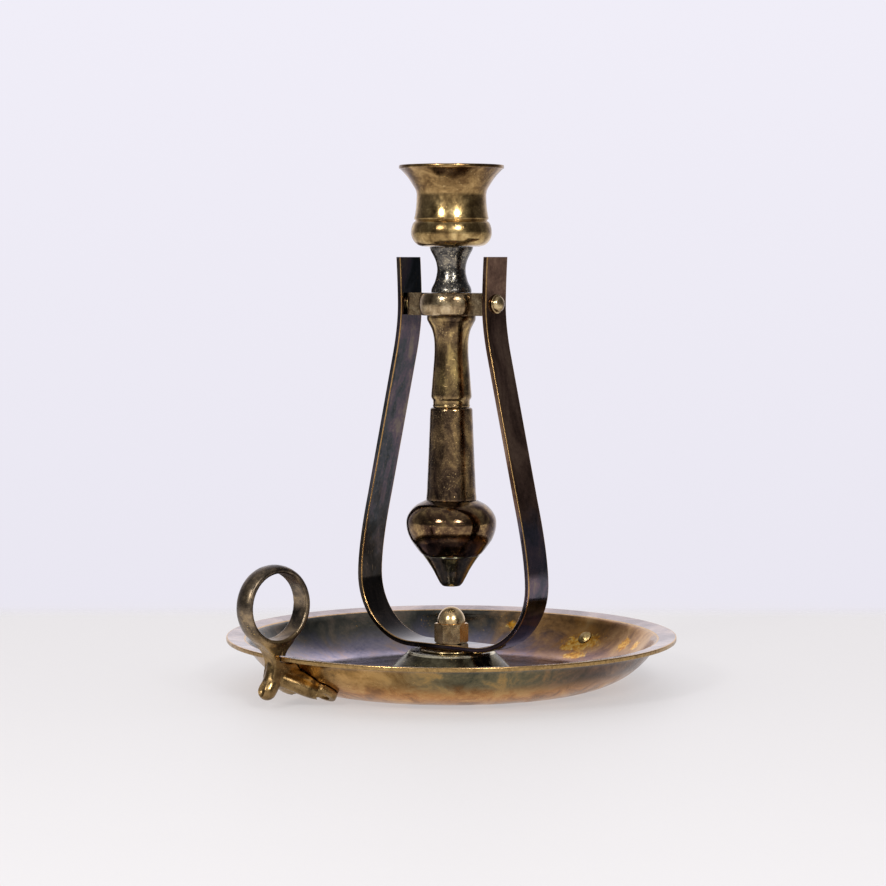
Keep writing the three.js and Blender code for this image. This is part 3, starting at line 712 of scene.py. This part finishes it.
# ------------------------------------------------------------------ centre of the dish
def pedestal():
    foot, top = low("pedestal_cone").z, high("pedestal_cone").z
    base, rim, wall = high("pedestal_cone").x, 14.3, 2.4
    cone = lathe_mesh(softened([
        (base - wall - 0.4, foot), (base, foot, 0.25), (base, foot + 0.6, 0.3),
        (rim + 0.5, top - 0.5, 0.3), (rim, top, 0.3), (3.3, top), (3.3, top - wall), (rim - wall + 0.4, top - wall),
    ]))
    cone = finished("pedestal_cone_turned", cone, [CONE, CONE_EDGE_HIGHLIGHT], "base", ["pedestal_cone"], 25)
    # painted highlight: the faces of the cone's top rounded edge take the highlight metal
    paint(cone, 1, lambda c, n: top - 0.7 < c.z < top - 0.02 and n.z > 0.1)

    foot, top, radius = low("pedestal_washer").z, high("pedestal_washer").z, high("pedestal_washer").x
    washer = lathe_mesh(softened([(3.3, foot), (radius, foot, 0.2), (radius, top, 0.3), (3.3, top)]), 96)
    finished("pedestal_washer_turned", washer, [FIXING], "base", ["pedestal_washer"])


def centre_stud():
    """A machine screw from below: slotted countersunk head, plain shank, rounded tip in the nut."""
    top = high("centre_stud").z
    stud = lathe_mesh(softened([
        (0, 0), (5.2, 0, 0.15), (3, SHEET, 0.1), (3, top - 0.6, 0.1), (2.4, top), (0, top),
    ], closed=False), 64)
    slot_cut = block((-6, -0.55, -1), (6, 0.55, 0.7))
    finished("centre_stud_screw", carved(stud, slot_cut, "DIFFERENCE"), [FIXING], "base", ["centre_stud"])


def acorn_nut():
    foot, top = low("acorn_nut").z, high("acorn_nut").z
    across, hex_top, dome = 10.0, foot + 6.6, 4.75
    corner = across / 2 / math.cos(math.radians(30))
    hexagon = arc(0, 0, corner, NUT_FACE + 30, NUT_FACE + 330, 5)
    bm = bmesh.new()
    lower = [bm.verts.new((x, y, foot)) for x, y in hexagon]
    upper = [bm.verts.new((x, y, hex_top)) for x, y in hexagon]
    bm.faces.new(lower[::-1])
    bm.faces.new(upper)
    for i in range(6):
        bm.faces.new((lower[i], lower[(i + 1) % 6], upper[(i + 1) % 6], upper[i]))
    flat = across / 2 + 0.25
    chamfer = lathe_mesh([(0, foot - 1), (flat - 1.0, foot - 1), (flat, foot), (corner + 0.2, foot + 0.5),
                          (corner + 0.2, hex_top - 0.4), (flat, hex_top), (flat - 1.0, hex_top + 1),
                          (0, hex_top + 1)], 96)
    # the dome is the upper part of a ball that is a little wider than high
    rise = top - hex_top
    cap = lathe_mesh([(0, foot + 1), (dome - 0.15, foot + 1), (dome - 0.15, hex_top)]
                     + [(dome * math.cos(math.radians(a)) ** 0.92, hex_top + 0.15 + (rise - 0.15) * math.sin(math.radians(a)))
                        for a in range(0, 90, 5)] + [(0, top)], 96)
    nut = carved(carved(bm, chamfer, "INTERSECT"), cap, "UNION")
    nut = carved(nut, drum(3.3, foot - 1, foot + 8), "DIFFERENCE")
    nut = finished("acorn_nut_domed", nut, [NUT], "base", ["acorn_nut"])
    edged(nut, 0.1, 2, 25)


# ------------------------------------------------------------------ finger-ring handle
def in_wall_frame(angle, reach, outline, segments=40):
    return moved(lathe_mesh(outline, segments), wall_place(angle, reach))


def handle():
    reach, height = RING_CENTRE.x, RING_CENTRE.z
    half = 3.55
    ring = lathe_mesh(softened([
        (RING_INNER, -half + 0.25, 0.2), (RING_INNER + 0.3, -half, 0.2), (RING_OUTER - 1.1, -half, 0.5),
        *arc(RING_OUTER - 7.5, 0, 7.5, -22, 22, 6), (RING_OUTER - 1.1, half, 0.5),
        (RING_INNER + 0.3, half, 0.2), (RING_INNER, half - 0.25, 0.2),
    ]), 128)
    moved(ring, Matrix.Translation((reach, 0, height)) @ Matrix.Rotation(math.pi / 2, 4, "X"))
    neck = plate(
        flowing([(83.6, 21.6), (81.4, 19.6), (79.6, 17.6), (78.7, 15.6), (78.5, 13), (79.2, 9.2)], 4)
        + [(75.5, 7.7), (65.0, 8.0), (67.6, 13.6), (73.6, 14.2)]
        + flowing([(74.1, 15), (74.0, 16.6), (72.8, 18.6), (71.2, 20.2), (69.6, 21.8)], 4) + [(76.7, 21.0)], 5.6)
    tail = chain([(76.1, 0, 13.4), (76.6, 0, 10.6), (77.6, 0, 8.0), (79.4, 0, 5.5)], [2.85, 2.9, 3.0])
    lobes = []
    for side in (-1, 1):
        spread = side * EYELET_SPREAD
        end = wall_place(spread, EYELET_REACH) @ Vector((0, 0, 1.2))
        path = flowing3([(75, 0, 9.5), (70.5, side * 3.5, 7.2), (65.7, side * 5.7, 5.0), tuple(end)], 5)
        lobes.append(chain(path, [2.65] * len(path)))
        web = flowing3([(73, side * 0.5, 10.8), (68.5, side * 3.2, 9.2), (65.2, side * 5.2, 7.0)], 3)
        lobes.append(chain(web, [2.3] * len(web)))
        lobes.append(in_wall_frame(spread, EYELET_REACH, softened(
            [(0, -0.2), (4.45, -0.2), (4.45, 2.45, 0.7), (0, 2.45)], closed=False), 48))
    skin = cast(joined(ring, neck, tail, *lobes), 0.3, 8)
    hollows = [
        chain([(83.3, 0, 11.0), (83.6, 0, 6.4)], [3.0], (0.75, 1)),
        chain([(74.9, -3.9, 19.6), (76.2, -3.5, 16.4)], [1.0]),
        chain([(74.9, 3.9, 19.6), (76.2, 3.5, 16.4)], [1.0]),
    ]
    for side in (-1, 1):
        hollows.append(in_wall_frame(side * EYELET_SPREAD, EYELET_REACH, softened(
            [(0, 1.5), (2.3, 1.5, 0.3), (2.9, 4.5), (0, 4.5)], closed=False)))
        hollows.append(in_wall_frame(side * EYELET_SPREAD, EYELET_REACH, [(0, -2), (1.9, -2), (1.9, 4), (0, 4)]))
    for hollow in hollows:
        skin = carved(skin, hollow, "DIFFERENCE")
    clearance = lathe_mesh(dish_outline(0.3, [(20, SHEET + 0.3), (20, -0.3)]), 192)
    skin = carved(skin, clearance, "DIFFERENCE")
    turn = Matrix.Rotation(HANDLE_ANGLE, 4, "Z")
    moved(skin, turn)
    patches = [(tuple(turn @ Vector((67.5, 5.6, 7.6))), 2.3), (tuple(turn @ Vector((64.0, 6.4, 6.6))), 1.7),
               (tuple(turn @ Vector((80.5, 2.9, 7.5))), 1.1)]
    metal = aged_brass("handle_brass", [(0.04, 0.031, 0.025), (0.11, 0.085, 0.06), (0.22, 0.165, 0.11),
                                        (0.40, 0.29, 0.17)],
                       6, (0.24, 0.4), 0.35, (0.85, 0.6, 0.24), turned=0, pits=0.35, seed=14, patches=patches,
                       fade=([(0.09, 0.055, 0.022), (0.19, 0.12, 0.05), (0.31, 0.2, 0.085), (0.45, 0.3, 0.13)], 27, 19))
    finished("handle_cast_ring", skin, [metal], "base", ["handle_casting"], 40)


def flowing3(points, steps):
    """A smooth curve through points in space."""
    flat = flowing([(p[0], p[1]) for p in points], steps)
    rise = flowing([(p[0], p[2]) for p in points], steps)
    return [(a[0], a[1], b[1]) for a, b in zip(flat, rise)]


def wall_rivet(name, node, angle, reach, shank, head, rise, reach_out, metal):
    """Its domed head is inside the dish and its clenched end is outside."""
    seat = -SHEET - 0.3
    centre = seat - rise + (head**2 + rise**2) / (2 * rise)
    dome = (head**2 + rise**2) / (2 * rise)
    start = math.degrees(math.asin(min(1, head / dome)))
    outline = [(dome * math.sin(math.radians(a)), centre - dome * math.cos(math.radians(a)))
               for a in [start * i / 8 for i in range(9)]]
    outline += softened([(head, seat + 0.01), (shank, seat), (shank, reach_out, 0.35), (0, reach_out)], closed=False)
    finished(name, in_wall_frame(angle, reach, outline, 48), [metal], "base", [node], 40)


def hanging_tab():
    """A bent strip: one leg riveted to the wall, the other level with a hole for a nail."""
    lean = math.acos((TAB_REACH - FLOOR_RADIUS) / BEND_RADIUS)
    out = Vector((math.cos(lean), -math.sin(lean)))
    along = Vector((math.sin(lean), math.cos(lean)))
    half = 0.6
    middle = Vector((TAB_REACH, wall_height(TAB_REACH))) + out * 0.9
    top = middle + along * 3.6
    knee = middle - along * 3.6 + Vector((1.2, 0))
    outline = softened([
        (knee.x - 0.5, knee.y - half, 0.3), (74.4, knee.y - half, 0.25), (74.4, knee.y + half, 0.25),
        (knee.x + 1.2, knee.y + half, 0.5), tuple(top + out * half) + (0.25,), tuple(top - out * half) + (0.2,),
    ])
    strip = plate(outline, 12)
    strip = carved(strip, moved(drum(3.5, knee.y - 4, knee.y + 4, 64), Matrix.Translation((69.4, 0, 0))), "DIFFERENCE")
    strip = carved(strip, moved(drum(1.6, -5, 5), wall_place(0, TAB_REACH)), "DIFFERENCE")
    clearance = lathe_mesh(dish_outline(0.3, [(20, SHEET + 0.3), (20, -0.3)]), 192)
    strip = carved(strip, clearance, "DIFFERENCE")
    corners = [moved(block((-2.5, -2.5, -4), (0, 0, 4)), Matrix.Identity(4)) for _ in range(0)]
    for corner in corners:
        strip = carved(strip, corner, "DIFFERENCE")
    moved(strip, Matrix.Rotation(TAB_ANGLE, 4, "Z"))
    tab = finished("hanging_tab_bent", strip, [FIXING], "base", ["hanging_tab"])
    edged(tab, 0.15, 2, 50)


# ------------------------------------------------------------------ yoke
def bezier(p0, p1, p2, p3, steps):
    points = []
    for i in range(1, steps + 1):
        t = i / steps
        points.append(tuple(
            (1 - t) ** 3 * a + 3 * t * (1 - t) ** 2 * b + 3 * t * t * (1 - t) * c + t**3 * d
            for a, b, c, d in zip(p0, p1, p2, p3)))
    return points


def arm_edge():
    """The outer edge of the right half of the strap, from the middle of its foot to the arm's top."""
    half_flat, bend = 13.4, 23.3
    widest = half_flat + bend
    centre = STRAP_FOOT + bend
    edge = [(x, STRAP_FOOT) for x in (0, 4, 8, half_flat)]
    edge += arc(half_flat, centre, bend, -90, 0, 18)[1:]
    edge += bezier(edge[-1], (widest, centre + 8.5), (34.1, 55.4), (32.1, 63.4), 10)
    start = Vector(edge[-1])
    edge += [tuple(start.lerp(Vector((20.9, 112)), i / 12)) for i in range(1, 13)]
    edge += bezier(edge[-1], (19.54, 118), (18.7, 124), (18.85, 130), 10)
    edge += bezier(edge[-1], (18.95, 135), (19.2, 140), (19.45, STRAP_TOP), 8)
    return [Vector(p) for p in edge]


def strap():
    right = arm_edge()
    edge = [Vector((-p.x, p.y)) for p in right[:0:-1]] + right
    thick, width, rounding = 1.8, 2 * STRAP_HALF_WIDTH, 0.42
    section = []  # (inwards from the outer edge, along Y)
    for cx, cy, start in ((thick - rounding, width / 2 - rounding, 0), (rounding, width / 2 - rounding, 90),
                          (rounding, -width / 2 + rounding, 180), (thick - rounding, -width / 2 + rounding, 270)):
        section += arc(cx, cy, rounding, start, start + 90, 3)
    bm = bmesh.new()
    rings = []
    count = len(edge)
    for i, point in enumerate(edge):
        tangent = (edge[min(i + 1, count - 1)] - edge[max(i - 1, 0)]).normalized()
        inward = Vector((-tangent.y, tangent.x))
        if i in (0, count - 1):
            inward = Vector((1 if point.x < 0 else -1, 0))
        rings.append([bm.verts.new(((point + inward * d).x, y, (point + inward * d).y)) for d, y in section])
    for a, b in zip(rings, rings[1:]):
        for k in range(len(section)):
            m = (k + 1) % len(section)
            bm.faces.new((a[k], a[m], b[m], b[k]))
    ends = [bm.faces.new(rings[0][::-1]), bm.faces.new(rings[-1])]
    bmesh.ops.inset_region(bm, faces=ends, thickness=0.12, use_even_offset=True)
    sharp = finished("yoke_bent_strap", bm, [YOKE, EDGE], "yoke", ["yoke_strap"], 50)
    side = width / 2 - rounding
    paint(sharp, 1, lambda c, n: side + 0.02 < abs(c.y) < width / 2 - 0.03)
    paint(sharp, 1, lambda c, n: STRAP_TOP - 0.1 < c.z < STRAP_TOP + 0.1 and abs(n.z) < 0.99)
    edged(sharp, 0.1, 1, 50)


def across(bm, side):
    """Turns a piece made about Z to lie along the pivot axis, on one side of the stem."""
    turn = Matrix.Rotation(side * math.pi / 2, 4, "Y")
    return moved(bm, Matrix.Translation((0, 0, PIVOT_HEIGHT)) @ turn)


def pivots():
    for side, word in ((-1, "left"), (1, "right")):
        box = (low, high)[side > 0]("pivot_rivet_" + word).x * side
        head = STRAP_REACH_AT_PIVOT + 0.15
        shank, radius, dome_radius, rise = 1.9, 3.2, 2.8, 1.8
        base_of_dome = head + 0.5
        outline = softened([(0, 11.5), (shank, 11.5), (shank, head), (radius, head, 0.12),
                            (radius, base_of_dome, 0.2), (dome_radius, base_of_dome + 0.1, 0.1)], closed=False)
        for i in range(1, 10):
            a = math.radians(90 * i / 10)
            outline.append((dome_radius * math.cos(a) ** 0.85, base_of_dome + 0.1 + (rise - 0.1) * math.sin(a)))
        outline.append((0, box))
        finished("pivot_rivet_%s_domed" % word, across(lathe_mesh(outline, 64), side), [FIXING], "yoke",
                 ["pivot_rivet_" + word], 40)
        near = min(abs(low("pivot_washer_" + word).x), abs(high("pivot_washer_" + word).x))
        ring = lathe_mesh(softened([(2.2, near), (3.4, near, 0.12), (3.4, near + 0.5, 0.12), (2.2, near + 0.5)]), 64)
        finished("pivot_washer_%s_turned" % word, across(ring, side), [RIVET], "yoke",
                 ["pivot_washer_" + word])


STRAP_REACH_AT_PIVOT = 18.85


# ------------------------------------------------------------------ swinging stem
ROD_BORE = 2.8


def turned_piece(name, node, outline, material, segments=ROUND, sharp=35):
    return finished(name, lathe_mesh(softened(outline), segments), [material], "stem", [node], sharp)


def collar():
    foot, top = low("crossbar_collar").z, high("crossbar_collar").z
    middle, height = (foot + top) / 2, top - foot
    end = high("crossbar_collar").x
    radius, belly, lug = 10.2, 11.1, 3.4
    barrel = lathe_mesh(softened([
        (ROD_BORE, foot), (radius - 0.15, foot, 0.3), (radius + 0.25, foot + 0.6, 0.3), (radius + 0.65, foot + 1.7, 0.6),
        (belly, middle, 1.2), (radius + 0.65, top - 1.7, 0.6), (radius + 0.25, top - 0.6, 0.3),
        (radius - 0.15, top, 0.3), (ROD_BORE, top),
    ]), ROUND)
    body = barrel
    for side in (-1, 1):
        near, far = sorted((side * 5.0, side * end))
        body = carved(body, block((near, -lug, foot), (far, lug, top)), "UNION")
    for side in (-1, 1):
        body = carved(body, across(drum(2.2, 11.0, 20, 32), side), "DIFFERENCE")
    piece = finished("crossbar_collar_lugged", body, [COLLAR], "stem", ["crossbar_collar"], 30)
    edged(piece, 0.3, 3, 50)


def neck():
    foot, top = low("neck_spool").z, high("neck_spool").z
    waist = flowing([(6.75, foot + 1.0), (6.5, foot + 1.7), (5.6, foot + 3.6), (5.05, foot + 5.6), (4.8, foot + 7.4),
                     (4.9, foot + 8.9), (5.4, foot + 10.9), (6.2, foot + 12.6), (7.0, foot + 14.1)], 5)
    turned_piece("neck_spool_turned", "neck_spool", [
        (ROD_BORE, foot), (6.8, foot, 0.15), *waist, (7.3, top - 0.4, 0.3), (7.25, top, 0.15), (ROD_BORE, top),
    ], NECK)


def candle_socket():
    foot, rim, rim_radius = low("candle_socket").z, high("candle_socket").z, high("candle_socket").x
    bulb = flowing([(9.4, foot), (11.3, foot + 0.55), (12.6, foot + 1.7), (13.4, foot + 3.3), (13.6, foot + 4.7),
                    (13.42, foot + 6.3), (12.8, foot + 8.0), (12.2, foot + 8.55)], 5)
    wall = flowing([(12.36, foot + 10.2), (12.0, foot + 12.3), (11.75, foot + 15.5), (11.85, foot + 18.4),
                    (13.1, foot + 20.8), (14.8, foot + 23.3), (16.6, foot + 25.3), (17.35, foot + 26.0)], 6)
    bore, seat = 10.9, high("tie_rod").z - 2.1
    mouth = flowing([(14.3, rim - 0.55), (12.9, rim - 2.3), (11.6, rim - 4.8), (bore + 0.05, rim - 8)], 5)
    outline = [
        (ROD_BORE, foot), *bulb, (12.05, foot + 8.7, 0.1), (12.15, foot + 8.9), (12.5, foot + 9.1, 0.25),
        (12.52, foot + 9.75, 0.25), *wall, (rim_radius - 0.08, rim - 1.25, 0.15), (rim_radius, rim - 0.9, 0.2),
        (rim_radius - 0.05, rim - 0.15, 0.2), (rim_radius - 0.45, rim, 0.25), (15.0, rim - 0.12, 0.3), *mouth,
        (bore, seat, 0.4), (ROD_BORE, seat),
    ]
    turned_piece("candle_socket_turned", "candle_socket", outline, CUP, 160)


def stems():
    foot, top = low("upper_stem").z, high("upper_stem").z
    body = flowing([(6.85, foot + 3.75), (6.55, foot + 7.5), (6.15, foot + 12.5), (5.8, foot + 17), (5.72, foot + 20),
                    (5.85, foot + 23), (6.5, foot + 26), (7.45, foot + 28), (8.1, foot + 29.2)], 5)
    turned_piece("upper_stem_turned", "upper_stem", [
        (ROD_BORE, foot), (6.2, foot, 0.2), (6.35, foot + 0.6, 0.25), (6.15, foot + 0.9, 0.15), (6.2, foot + 2.2, 0.3),
        (6.75, foot + 3.1, 0.4), *body, (8.25, foot + 30.0, 0.3), (8.2, top, 0.2), (ROD_BORE, top),
    ], UPPER_STEM)
    foot, top = low("lower_stem").z, high("lower_stem").z
    turned_piece("lower_stem_turned", "lower_stem", [
        (ROD_BORE, foot), (8.5, foot, 0.2), (8.5, foot + 0.8, 0.4), (8.3, foot + 2.7, 0.8), (7.99, foot + 9.8, 2),
        (7.57, foot + 19.2, 2), (7.15, top - 0.9, 0.2), (7.0, top - 0.35, 0.2), (6.4, top, 0.15), (ROD_BORE, top),
    ], STEM)


def weight():
    foot, top = low("counterweight_bob").z, high("counterweight_bob").z
    outside = flowing([(9.75, foot), (10.4, foot + 0.55), (12.2, foot + 2.8), (13.9, foot + 5.3), (14.95, foot + 8.1),
                       (15.27, foot + 10.6), (15.05, foot + 12.5), (13.95, foot + 14.7), (11.9, foot + 16.8),
                       (9.3, foot + 18.2)], 6)
    turned_piece("counterweight_bob_turned", "counterweight_bob", [
        (7.2, foot), *outside, (8.75, top, 0.2), (ROD_BORE, top), (ROD_BORE, top - 2.6), (9.6, top - 2.6),
        (12.7, foot + 12.1), (12.7, foot + 9.3),
    ], BOB_METAL, 160)
    foot, top = low("lead_slug").z, high("lead_slug").z
    turned_piece("lead_slug_cast", "lead_slug", [
        (ROD_BORE, foot), (7.1, foot, 0.3), (12.0, foot + 9.0, 0.8), (12.0, foot + 11.6, 0.8), (9, top, 0.6),
        (ROD_BORE, top),
    ], LEAD, 64)
    foot, top = low("finial").z, high("finial").z
    outside = flowing([(3.35, foot + 0.45), (3.9, foot + 1.1), (4.55, foot + 2.3), (5.35, foot + 3.75),
                       (6.15, foot + 5.3), (7.14, foot + 6.9), (8.35, foot + 8.7), (9.3, foot + 10.0)], 6)
    turned_piece("finial_turned", "finial", [
        (0, foot), (2.9, foot, 0.35), *outside, (9.6, top - 0.15, 0.1), (9.5, top, 0.05), (ROD_BORE, top),
        (ROD_BORE, foot + 3.7), (0, foot + 3.7),
    ], FINIAL_METAL)


def tie_rod():
    foot, top = low("tie_rod").z, high("tie_rod").z
    rod = lathe_mesh(softened([
        (0, foot), (2.2, foot), (2.5, foot + 0.4), (2.5, top - 2), (4.5, top - 2, 0.2), (4.5, top - 0.7, 0.4),
        (3.6, top, 0.4), (0, top),
    ], closed=False), 64)
    rod = carved(rod, block((-6, -0.5, top - 0.9), (6, 0.5, top + 1)), "DIFFERENCE")
    finished("tie_rod_screw", rod, [FIXING], "stem", ["tie_rod"])


# ------------------------------------------------------------------ stage
CAMERA_DIRECTION = math.radians(-52.1)  # from the axis towards the camera, in the XY plane
CAMERA_DISTANCE = 0.902
CAMERA_HEIGHT = 0.143
TABLE_BEHIND = 0.183


def towards(azimuth, elevation, distance):
    """A point at an angle round from the camera's direction, seen from the axis."""
    a = CAMERA_DIRECTION + math.radians(azimuth)
    e = math.radians(elevation)
    return Vector((math.cos(a) * math.cos(e), math.sin(a) * math.cos(e), math.sin(e))) * distance


def camera():
    data = bpy.data.cameras.new("camera")
    data.lens = 108.73
    data.sensor_width = 36
    seen = bpy.data.objects.new("camera", data)
    bpy.context.scene.collection.objects.link(seen)
    seen.location = towards(0, 0, CAMERA_DISTANCE) + Vector((0, 0, CAMERA_HEIGHT))
    heading = CAMERA_DIRECTION + math.pi + math.radians(0.18)
    down = math.radians(3.90)
    look = Vector((math.cos(heading) * math.cos(down), math.sin(heading) * math.cos(down), -math.sin(down)))
    seen.rotation_euler = look.to_track_quat("-Z", "Y").to_euler()
    bpy.context.scene.camera = seen


def soft_box(name, azimuth, elevation, distance, size, power, diamond=False, colour=(1, 1, 1)):
    data = bpy.data.lights.new(name, "AREA")
    data.shape = "SQUARE"
    data.size = size
    data.energy = power
    data.color = colour
    lamp = bpy.data.objects.new(name, data)
    bpy.context.scene.collection.objects.link(lamp)
    aim = Vector((0, 0, 0.09))
    lamp.location = aim + towards(azimuth, elevation, distance)
    turn = (aim - lamp.location).to_track_quat("-Z", "Y").to_matrix().to_4x4()
    if diamond:
        turn = turn @ Matrix.Rotation(math.radians(45), 4, "Z")
    lamp.rotation_euler = turn.to_euler()


def studio():
    """What the metal reflects: a pale room behind the object, a dark one with a glow on the near side.
    The camera itself sees a plain pale backdrop that meets the table."""
    world = bpy.data.worlds.new("studio")
    bpy.context.scene.world = world
    world.use_nodes = True
    tree = world.node_tree
    tree.nodes.clear()

    def node(kind, **values):
        made = tree.nodes.new(kind)
        for key, value in values.items():
            setattr(made, key, value)
        return made

    def ramp(source, start, end, stops):
        scaled = node("ShaderNodeMapRange")
        tree.links.new(source, scaled.inputs["Value"])
        scaled.inputs["From Min"].default_value = start
        scaled.inputs["From Max"].default_value = end
        made = node("ShaderNodeValToRGB")
        elements = made.color_ramp.elements
        while len(elements) < len(stops):
            elements.new(0.5)
        for element, (value, colour) in zip(elements, stops):
            element.position = (value - start) / (end - start)
            element.color = (*colour, 1)
        tree.links.new(scaled.outputs[0], made.inputs[0])
        return made.outputs[0]

    def dot(direction):
        made = node("ShaderNodeVectorMath", operation="DOT_PRODUCT")
        tree.links.new(place.outputs["Generated"], made.inputs[0])
        made.inputs[1].default_value = direction
        return made.outputs["Value"]

    place = node("ShaderNodeTexCoord")
    height = dot((0, 0, 1))
    facing = dot(towards(0, 0, 1))
    around = ramp(facing, -1, 1, [
        (-1, (0.95, 0.93, 1.0)), (-0.85, (0.88, 0.86, 0.95)), (-0.65, (0.34, 0.33, 0.37)), (-0.4, (0.13, 0.13, 0.145)),
        (0.45, (0.11, 0.11, 0.115)), (0.72, (0.15, 0.15, 0.15)), (0.87, (0.38, 0.375, 0.37)), (1, (0.52, 0.51, 0.50)),
    ])
    above = ramp(height, -1, 1, [
        (-1, (0.5, 0.49, 0.5)), (-0.05, (0.5, 0.49, 0.5)), (0.0, (0, 0, 0)), (0.5, (0.08, 0.08, 0.08)),
        (0.8, (0.34, 0.34, 0.36)), (1, (0.42, 0.42, 0.45)),
    ])
    room = node("ShaderNodeMix", data_type="RGBA", blend_type="LIGHTEN")
    room.inputs["Factor"].default_value = 1
    tree.links.new(around, room.inputs["A"])
    tree.links.new(above, room.inputs["B"])
    backdrop = ramp(height, -0.3, 0.12, [
        (-0.3, (0.745, 0.715, 0.715)), (-0.14, (0.83, 0.81, 0.825)), (-0.125, (0.82, 0.80, 0.885)),
        (0.12, (0.88, 0.86, 0.945)),
    ])
    rays = node("ShaderNodeLightPath")

    def choose(ray, otherwise, value):
        made = node("ShaderNodeMix", data_type="RGBA")
        tree.links.new(rays.outputs[ray], made.inputs["Factor"])
        tree.links.new(otherwise, made.inputs["A"])
        if isinstance(value, tuple):
            made.inputs["B"].default_value = (*value, 1)
        else:
            tree.links.new(value, made.inputs["B"])
        return made.outputs["Result"]

    lit = choose("Is Diffuse Ray", room.outputs["Result"], (1.1, 1.09, 1.12))
    choice = choose("Is Camera Ray", lit, backdrop)
    light = node("ShaderNodeBackground")
    tree.links.new(choice, light.inputs["Color"])
    output = node("ShaderNodeOutputWorld")
    tree.links.new(light.outputs[0], output.inputs["Surface"])


def table():
    """A pale table that thins out at its far edge."""
    bm = bmesh.new()
    bmesh.ops.create_grid(bm, x_segments=2, y_segments=2, size=0.9)
    mesh = bpy.data.meshes.new("table")
    bm.to_mesh(mesh)
    bm.free()
    top = bpy.data.objects.new("table", mesh)
    bpy.context.scene.collection.objects.link(top)
    top.location = (0, 0, -0.0003)
    material = bpy.data.materials.new("table")
    material.use_nodes = True
    tree = material.node_tree
    shader = tree.nodes["Principled BSDF"]
    shader.inputs["Base Color"].default_value = (0.255, 0.25, 0.25, 1)
    shader.inputs["Emission Color"].default_value = (1, 0.965, 0.97, 1)
    shader.inputs["Emission Strength"].default_value = 0.455
    shader.inputs["Roughness"].default_value = 0.6
    grain = tree.nodes.new("ShaderNodeTexNoise")
    grain.inputs["Scale"].default_value = 900
    bump = tree.nodes.new("ShaderNodeBump")
    bump.inputs["Strength"].default_value = 0.05
    tree.links.new(grain.outputs["Fac"], bump.inputs["Height"])
    tree.links.new(bump.outputs["Normal"], shader.inputs["Normal"])
    place = tree.nodes.new("ShaderNodeTexCoord")
    along = tree.nodes.new("ShaderNodeVectorMath")
    along.operation = "DOT_PRODUCT"
    tree.links.new(place.outputs["Object"], along.inputs[0])
    along.inputs[1].default_value = -towards(0, 0, 1)
    fade = tree.nodes.new("ShaderNodeMapRange")
    fade.interpolation_type = "SMOOTHSTEP"
    tree.links.new(along.outputs["Value"], fade.inputs["Value"])
    fade.inputs["From Min"].default_value = TABLE_BEHIND - 0.02
    fade.inputs["From Max"].default_value = TABLE_BEHIND + 0.02
    clear = tree.nodes.new("ShaderNodeBsdfTransparent")
    thinned = tree.nodes.new("ShaderNodeMixShader")
    tree.links.new(fade.outputs[0], thinned.inputs["Fac"])
    tree.links.new(shader.outputs[0], thinned.inputs[1])
    tree.links.new(clear.outputs[0], thinned.inputs[2])
    tree.links.new(thinned.outputs[0], tree.nodes["Material Output"].inputs["Surface"])
    mesh.materials.append(material)


# ------------------------------------------------------------------ assembly
drip_dish()
pedestal()
centre_stud()
acorn_nut()
handle()
for side, word in ((-1, "left"), (1, "right")):
    wall_rivet("handle_rivet_%s_domed" % word, "handle_rivet_" + word, HANDLE_ANGLE + side * EYELET_SPREAD,
               EYELET_REACH, 1.6, 2.5, 1.1, 1.7, FIXING)
hanging_tab()
wall_rivet("hanging_tab_rivet_domed", "hanging_tab_rivet", TAB_ANGLE, TAB_REACH, 1.3, 2.6, 1.2, 2.3, RIVET)
strap()
pivots()
collar()
neck()
candle_socket()
stems()
weight()
tie_rod()

camera()
studio()
table()
soft_box("near_box_left", -34, 26, 0.9, 0.16, 3.0, True)
soft_box("near_box_right", 19, 26, 0.9, 0.16, 3.0, True)
bpy.context.scene.view_settings.view_transform = "Standard"
